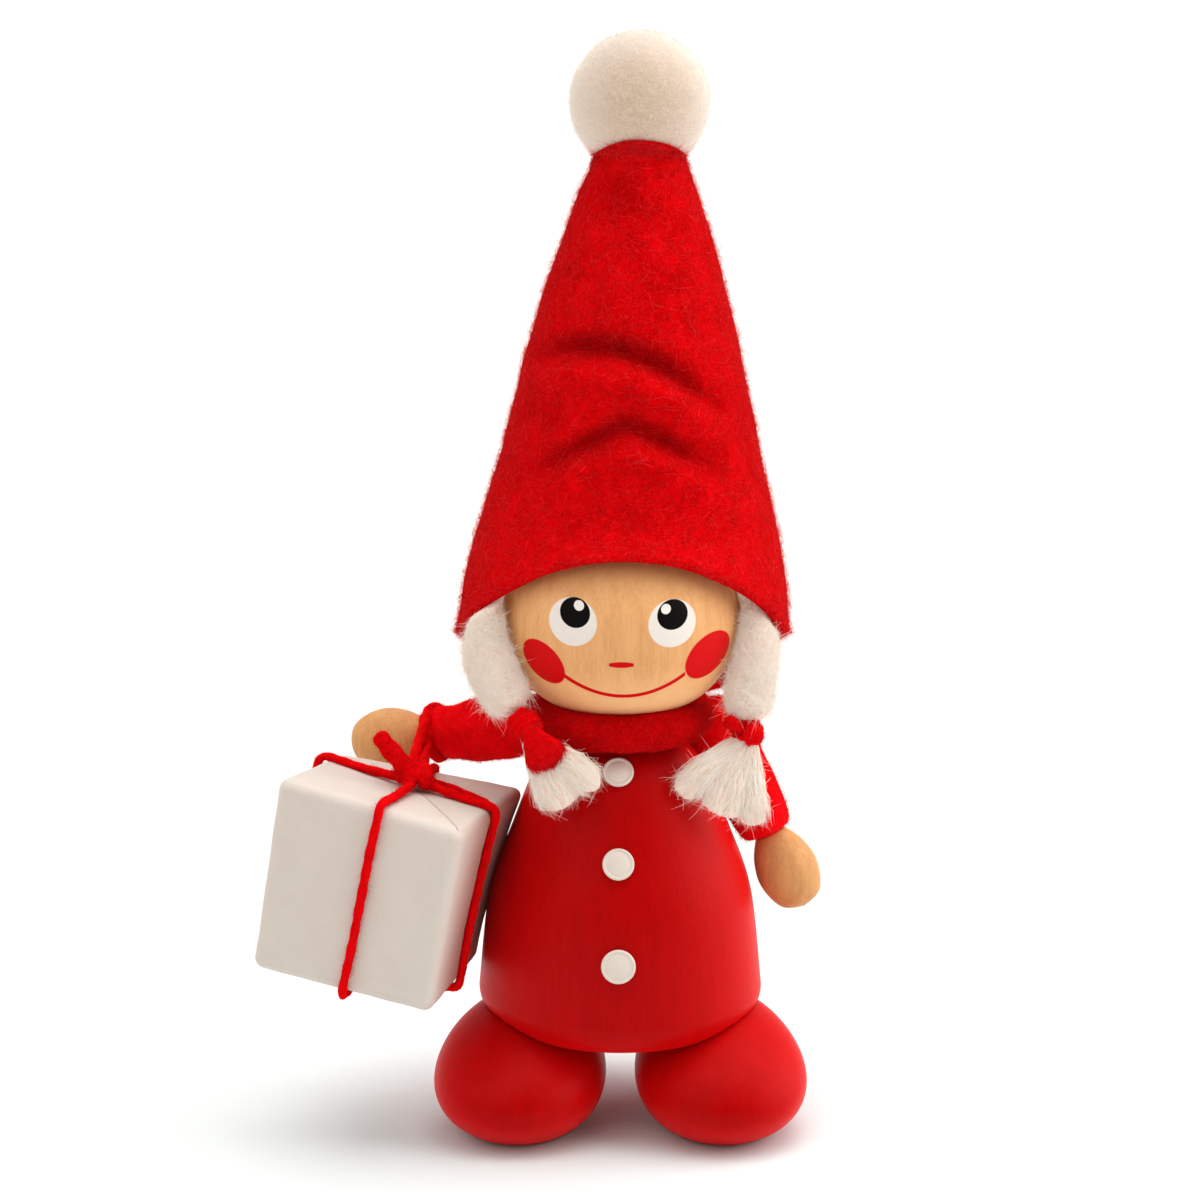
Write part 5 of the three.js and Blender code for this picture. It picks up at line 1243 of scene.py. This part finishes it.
# The darker red painted on the side next to the body, for its shadow and the red light it throws.
PAINTED_BOUNCE_RED, FOLD_SHADE, FOLD_CREASE_SHADE = (0.44, 0.18, 0.145, 1), (0.45, 0.34, 0.30, 1), (0.20, 0.13, 0.10, 1)


def on_gift(points):
    """Points in the gift's own frame, set in the figure's. The hand-wrapped gift is a little narrow and
    raised on its left, and the corners of its top are out of true by shares that fall off with
    distance."""
    points = np.asarray(points, float)
    right, far, high = (np.clip(0.5 + 0.5 * points[..., i] / GIFT_HALF, 0, 1) for i in range(3))
    near_left = (1 - right) * (1 - far)
    shares = np.stack([near_left, right * (1 - far), (1 - right) * far, right * far], -1)
    move = shares * high[..., None] ** 2 @ GIFT_TOP_CORNERS
    move += np.stack([GIFT_NARROW * (1 - right), GIFT_RAISE * near_left], -1)
    return (points + move[..., :1] * (1, 0, 0) + move[..., 1:] * (0, 0, 1)) @ GIFT_TURN.T + GIFT_MIDDLE


def gift_box(half, uneven, cells):
    """A closed box with rounded edges: a grid on each of six faces, closer to the edges, drawn in to a
    smaller box and let out again by the rounding. Returns its points and faces."""
    face = np.linspace(-1, 1, cells)
    face = half * np.sign(face) * (1 - (1 - np.abs(face)) ** EDGE_CROWDING)
    one, two = np.meshgrid(face, face, indexing="ij")
    box = np.stack([np.roll(np.stack([np.full_like(one, end * half), one, two], -1), axis, axis=-1)
                    for axis in range(3) for end in (-1, 1)])
    core = np.clip(box, PAPER_ROUNDING - half, half - PAPER_ROUNDING)
    out = box - core
    out /= np.linalg.norm(out, axis=-1, keepdims=True)
    points = core + PAPER_ROUNDING * out
    cockles = waves(points, COCKLE_LONG, 131) + 0.5 * waves(points, COCKLE_SHORT, 132)
    points = points + uneven * out * cockles[..., None]
    order = np.arange(cells ** 2).reshape(cells, cells)
    quads = np.stack([order[:-1, :-1], order[1:, :-1], order[1:, 1:], order[:-1, 1:]], -1).reshape(-1, 4)
    either_way = (quads[:, ::-1], quads)
    quads = np.concatenate([either_way[side % 2] + side * cells ** 2 for side in range(6)])
    corners = np.round(box.reshape(-1, 3), 4)
    _, first, weld = np.unique(corners, axis=0, return_index=True, return_inverse=True)
    return points.reshape(-1, 3)[first], weld.reshape(-1)[quads]


white_paper, tree, shader = finish_of("wrapping_paper", Roughness=0.6, Specular_IOR_Level=0.15)
cockled = noise(stretched(tree, 2600), 1.0, 4.0) * 0.4 + noise(stretched(tree, 260), 1.0, 3.0) * 0.6
place = lay(tree, "SeparateXYZ", {0: stretched(tree, 1, source="UV")})
# Painted shade and reflected light: the side next to the body is painted darker and redder towards the
# back, for the body's shadow and the red light it throws.
painted_bounce = place["X"].steps(0.95, 1.0) * place["Y"].steps(-0.15, 0.5)
# The fold: a fine dark line of painted shade in the crease on the top, from the knot to the corner, and a
# soft painted shade on its far side.
fold_way = FOLD_END - KNOT[:2]
fold_length = np.linalg.norm(fold_way)
fold_way = fold_way / fold_length
x, y = (place[axis] * (2 * GIFT_HALF) - (KNOT[i] + GIFT_HALF) for i, axis in enumerate("XY"))
along, beside = x * fold_way[0] + y * fold_way[1], y * fold_way[0] - x * fold_way[1]
run = along.steps(0.0, 0.3) * along.steps(fold_length, fold_length - 0.6) * shade_of(tree)
soft = beside.steps(3.0, 0.1) * beside.math("GREATER_THAN", 0.0) * run
line = abs(beside).steps(0.13, 0.05) * run
colour = mix(cockled, PAPER_GREY, PAPER_WHITE)
for mask, tint in ((painted_bounce * 0.8, PAINTED_BOUNCE_RED), (soft * 0.16, FOLD_SHADE), (line * 0.75, FOLD_CREASE_SHADE)):
    colour = mix(mask, colour, tint)
feed(shader, Base_Color=colour, Normal=bump(cockled, 0.35, 0.00025))

points, quads = gift_box(GIFT_HALF - PAPER_STANDS_OFF, 0.0, 24)
block_faces = [(quads, np.zeros(quads.shape + (2,)))]
mesh_piece("gift_wood", on_gift(points), block_faces, (bare_wood, "gift", "bare_wood", "gift_block"))
points, quads = gift_box(GIFT_HALF, PAPER_UNEVEN, 64)
paper_faces = [(quads, points[quads][..., :2] / (2 * GIFT_HALF) + 0.5)]
paper_wear = (white_paper, "gift", "wrapping_paper", "gift_wrap", "gift_wrap_base")
on_top = (points[:, 2] > GIFT_HALF - 0.6).astype(float)
mesh_piece("gift_paper", on_gift(points), paper_faces, paper_wear, on_top)

# Yarn round the gift: one length of soft red wool yarn, taken round both ways, crossed under the gift and
# tied in a knot on top. Its two ends are cut short above the knot.

YARN_RADIUS, YARN_PLY_LENGTH, SECOND_RADIUS, KNOT_YARN = 0.66, 6.0, 0.55, 1.1
YARN_OVAL, YARN_SLUB, SLUB_SHORT, SLUB_LONG = 0.07, 0.05, 1.9, 4.3
BAND_REACH = GIFT_HALF + YARN_RADIUS - 0.08
# How far the bands start from the middle of the knot, bend before an edge of the gift and cut its corner.
KNOT_HALF, BAND_EDGE, BAND_CORNER = 1.2, 1.8, 0.4
ALONG_X, ALONG_Y = np.array([1, 0, 0]), np.array([0, 1, 0])


def yarn_point(line, side, radius, u, v):
    """Yarn: a softly twisted round section, slightly oval and turning once a ply length, with slow thick
    and thin places and rounded ends."""
    length = np.linalg.norm(np.diff(line, axis=0), axis=1).sum()
    turn = 4 * np.pi * (u - length / YARN_PLY_LENGTH * v)
    size = 1 + YARN_SLUB * np.sin(length / SLUB_SHORT * v) * np.sin(length / SLUB_LONG * v + 1)
    size = radius * (1 + YARN_OVAL * np.cos(turn)) * size * rounded(v, radius / length, radius / length)
    return swept(line, side, size, size, u, v)


def yarn(name, line, side, radius, seed, count, *nodes):
    """A piece of yarn along a line, with its loose fibres, on the gift."""
    outside = partial(yarn_point, line, side, radius)
    made = skin(name, outside(*grid(len(line), 18)), (red_wool, "gift", "red_yarn", *nodes))
    hairs = nap(outside, count, seed, (0.25, 1.1), 0.45, 0.9)
    fibres(name + "_hairs", hairs, 0.017, seed + 1, (yarn_fibre, "gift", "red_yarn"))
    return made


def band_stops(start, on_top, on_side, below, dip):
    """Half a band, from the knot over one edge and under the gift: along, up and off to the side."""
    far, corner, near = BAND_REACH, BAND_REACH - BAND_CORNER, BAND_REACH - BAND_EDGE
    return [
        (start, far + 0.7, on_top), (0.5 * (start + far), far + 0.1, 0.5 * (on_top + on_side)),
        (near, far + 0.02, on_side), (corner, corner, on_side), (far, near, on_side),
        (far, 0.5 * far, 0.7 * on_side + 0.3 * below), (far, 0, 0.5 * (on_side + below)),
        (far, -0.5 * far, 0.3 * on_side + 0.7 * below), (far, -near, below), (corner, -corner, below),
        (near, -far, below), (0.5 * far, -far - dip, below),
    ]


def band_line(along, aside, knot, on_top, sides, below, dip):
    """A band's path round the gift, open at the knot: out over one side, under, and back up the other."""
    out = band_stops(knot + KNOT_HALF, on_top, sides[0], below, dip)
    back = band_stops(KNOT_HALF - knot, on_top, sides[1], below, dip)[::-1]
    stops = np.array(out + [(0, -BAND_REACH - dip, below)] + [(-run, rise, off) for run, rise, off in back])
    return even(on_gift(stops[:, :1] * along + stops[:, 1:2] * (0, 0, 1) + stops[:, 2:] * aside), 320)


front_line = band_line(ALONG_Y, ALONG_X, KNOT[1], KNOT[0], (0.4, 1.6), 0.5, 0.0)
yarn("yarn_front", front_line, GIFT_TURN[:, 0], YARN_RADIUS, 141, 2600, "gift_yarn_front")
side_line = band_line(ALONG_X, ALONG_Y, KNOT[0], KNOT[1], (-1.0, 6.0), 0.4, 1.3)
yarn("yarn_side", side_line, GIFT_TURN[:, 1], YARN_RADIUS, 143, 2600, "gift_yarn_side")
# On the right a second strand of the side band lies beside the first and joins it at the edge. The knot is
# three short arcs of yarn drawn over each other at the crossing, and the ends are two tails. Each: its
# radius, seed, loose fibres, points along it and stops from the middle of the top or from the knot.
GIFT_TOP = np.array([0, 0, GIFT_HALF])
SHORT_YARNS = {
    "yarn_side_second": (SECOND_RADIUS, 145, 350, 80, GIFT_TOP, [
        (3.0, 2.4, 1.1), (6.0, 2.7, 0.9), (9.5, 1.9, 0.6), (12.5, 0.5, 0.45), (14.3, -0.4, -0.5)]),
    "gift_knot_arc_1": (KNOT_YARN, 151, 320, 60, KNOT, [
        (-2.6, 0.2, -0.5), (-1.4, -0.9, 1.0), (0.2, -1.2, 1.2), (1.6, -0.4, 0.6), (2.7, 0.3, -0.5)],
        "gift_knot"),
    "gift_knot_arc_2": (KNOT_YARN, 154, 320, 60, KNOT, [
        (0.1, -2.4, -0.6), (-0.9, -1.2, 0.9), (-0.7, 0.5, 1.4), (0.4, 1.6, 0.8), (0.3, 2.4, -0.4)]),
    "gift_knot_arc_3": (KNOT_YARN, 157, 320, 60, KNOT, [
        (-1.7, 1.2, -0.2), (-0.6, 0.9, 1.6), (0.8, 0.1, 1.9), (1.5, -1.0, 0.9), (1.2, -1.9, -0.3)]),
    "bow_tail_long": (1.35, 165, 420, 70, KNOT, [
        (-0.9, -0.6, 0.7), (-2.4, -1.2, 2.6), (-4.4, -1.7, 4.4), (-6.4, -2.0, 6.3)], "gift_bow_tail_long"),
    "bow_tail_short": (0.75, 166, 420, 70, KNOT, [
        (-1.2, 0.8, 0.4), (-2.6, 1.2, 0.9), (-3.9, 1.3, 0.9)], "gift_bow_tail_short"),
}
for name, (radius, seed, count, length, start, stops, *nodes) in SHORT_YARNS.items():
    short_line = even(on_gift(start + np.array(stops)), length)
    yarn(name, short_line, GIFT_TURN[:, 1], radius, seed, count, *nodes)

# Hanging loop: the same yarn, up from the knot, once round the cuff and back, so that the gift hangs from
# the wrist.

LOOP_FROM, LOOP_TO, LOOP_STEP, LOOP_LEG_GAP, LOOP_YARN = 50, 350, 25, 1.0, 0.8
LOOP_START, LOOP_RISE, CUFF_FULLNESS = (-0.4, 0.4, 1.5), (0, 0, 3), 0.25
_, _, _, length, groove, _ = ARMS["right"]
shoulder, arm_way, _, _ = arm_frame("right")
wrist = shoulder + arm_way * (length - WRIST_BEFORE_CUFF)
loop_radius = CUFF_RADIUS + CUFF_FULLNESS - groove + LOOP_YARN
knot_top = on_gift(KNOT + LOOP_START)
to_knot = knot_top + LOOP_RISE - wrist
to_knot = to_knot - arm_way * (to_knot @ arm_way)
to_knot /= np.linalg.norm(to_knot)
angle = np.radians(np.arange(LOOP_FROM, LOOP_TO + 1, LOOP_STEP))[:, None]
turns = wrist + loop_radius * (np.cos(angle) * to_knot + np.sin(angle) * np.cross(arm_way, to_knot))
leg = arm_way * LOOP_LEG_GAP
loop_line = even(np.concatenate([[knot_top + leg], turns, [knot_top - leg]]), 160)
loop = yarn("hanging_loop", loop_line, arm_way, LOOP_YARN, 171, 900, "gift_hanging_loop")

# Floor and light: a white sweep in a light tent that is bright above and behind and warmer and darker
# towards the camera. Near the figure the sweep is painted paler and bluer, a painted light that lifts its
# shadow and offsets the red light thrown from it. Four broad lamps light it: one above, a stronger one on
# the right of the picture, a weaker one at the front left and a faint one at the front right.

FLOOR_HALF = 30.0
FLOOR_WHITE, FLOOR_SHADE = (0.75, 0.746, 0.742, 1), (0.74, 0.736, 0.732, 1)
# Painted light: the paler, bluer white of the floor near the figure.
FLOOR_PAINTED_LIGHT_NEAR = (0.80, 0.87, 0.88, 1)
TENT_FRONT, TENT_BACK, LAMP_COLOUR = (1.0, 0.87, 0.78, 1), (1.0, 0.995, 0.985, 1), (1.0, 0.975, 0.945)

floor_white, tree, shader = finish_of("studio_floor", Roughness=0.9, Specular_IOR_Level=0.1)
place = lay(tree, "TexCoord")["Object"]
away = lay(tree, "VectorMath", {0: place, 1: tuple(FIGURE_AXIS)}, operation="DISTANCE")["Value"]
colour = mix(noise(stretched(tree, 40)), FLOOR_SHADE, FLOOR_WHITE)
# Painted light: the floor is paler and bluer near the figure, fully within 3 cm and fading out by 13 cm.
feed(shader, Base_Color=mix(away.steps(0.13, 0.03), colour, FLOOR_PAINTED_LIGHT_NEAR))
floor_mesh = bpy.data.meshes.new("floor")
corners = [(x * FLOOR_HALF, y * FLOOR_HALF, 0.0) for x, y in ((-1, -1), (1, -1), (1, 1), (-1, 1))]
floor_mesh.from_pydata(corners, [], [(0, 1, 2, 3)])
floor_mesh.materials.append(floor_white)
floor = bpy.data.objects.new("floor", floor_mesh)
bpy.context.scene.collection.objects.link(floor)
floor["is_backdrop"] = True

world = bpy.data.worlds.new("light_tent")
bpy.context.scene.world = world
world.use_nodes = True
tree = world.node_tree
way = lay(tree, "SeparateXYZ", {0: lay(tree, "TexCoord")["Generated"]})
from_back = (way["Z"] * 0.9 + way["Y"]).steps(-0.75, 0.75)
colour = mix(from_back, TENT_FRONT, TENT_BACK)
feed(tree.nodes["Background"], Strength=from_back * 0.4 + 0.2, Color=colour)

# Each lamp: the way its light travels, its strength and its breadth in degrees.
LAMPS = {
    "overhead": ((-0.05, -0.14, -0.99), 1.85, 60), "softbox": ((-0.53, 0.5, -0.68), 0.1, 50),
    "left_lamp": ((0.55, 0.5, -0.67), 0.75, 60), "right_lamp": ((-0.9, -0.05, -0.42), 2.05, 60),
}
for name, (way, strength, breadth) in LAMPS.items():
    lamp = bpy.data.lights.new(name, "SUN")
    lamp.energy, lamp.angle, lamp.color = strength, np.radians(breadth), LAMP_COLOUR
    placed = bpy.data.objects.new(name, lamp)
    placed.rotation_euler = Vector(way).to_track_quat("-Z", "Y").to_euler()
    bpy.context.scene.collection.objects.link(placed)

# Camera: at the photograph's place, in front of the figure, a little above the pompom and looking slightly
# down.

CAMERA_PLACE, CAMERA_DOWN, CAMERA_LENS, SENSOR_WIDTH = np.array([-3.1, -450.0, 179.7]), 12.5, 92.2, 36.0
camera_data = bpy.data.cameras.new("camera")
camera_data.lens, camera_data.sensor_width = CAMERA_LENS, SENSOR_WIDTH
camera = bpy.data.objects.new("camera", camera_data)
camera.location = CAMERA_PLACE * MM + FIGURE_AXIS
camera.rotation_euler = (np.radians(90 - CAMERA_DOWN), 0, 0)
bpy.context.scene.collection.objects.link(camera)
bpy.context.scene.camera = camera
bpy.context.scene.view_settings.view_transform = "Standard"

boxes = {"cad": cad_box, "visual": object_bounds()}
boxes = {name: [[float(value) for value in corner] for corner in box] for name, box in boxes.items()}
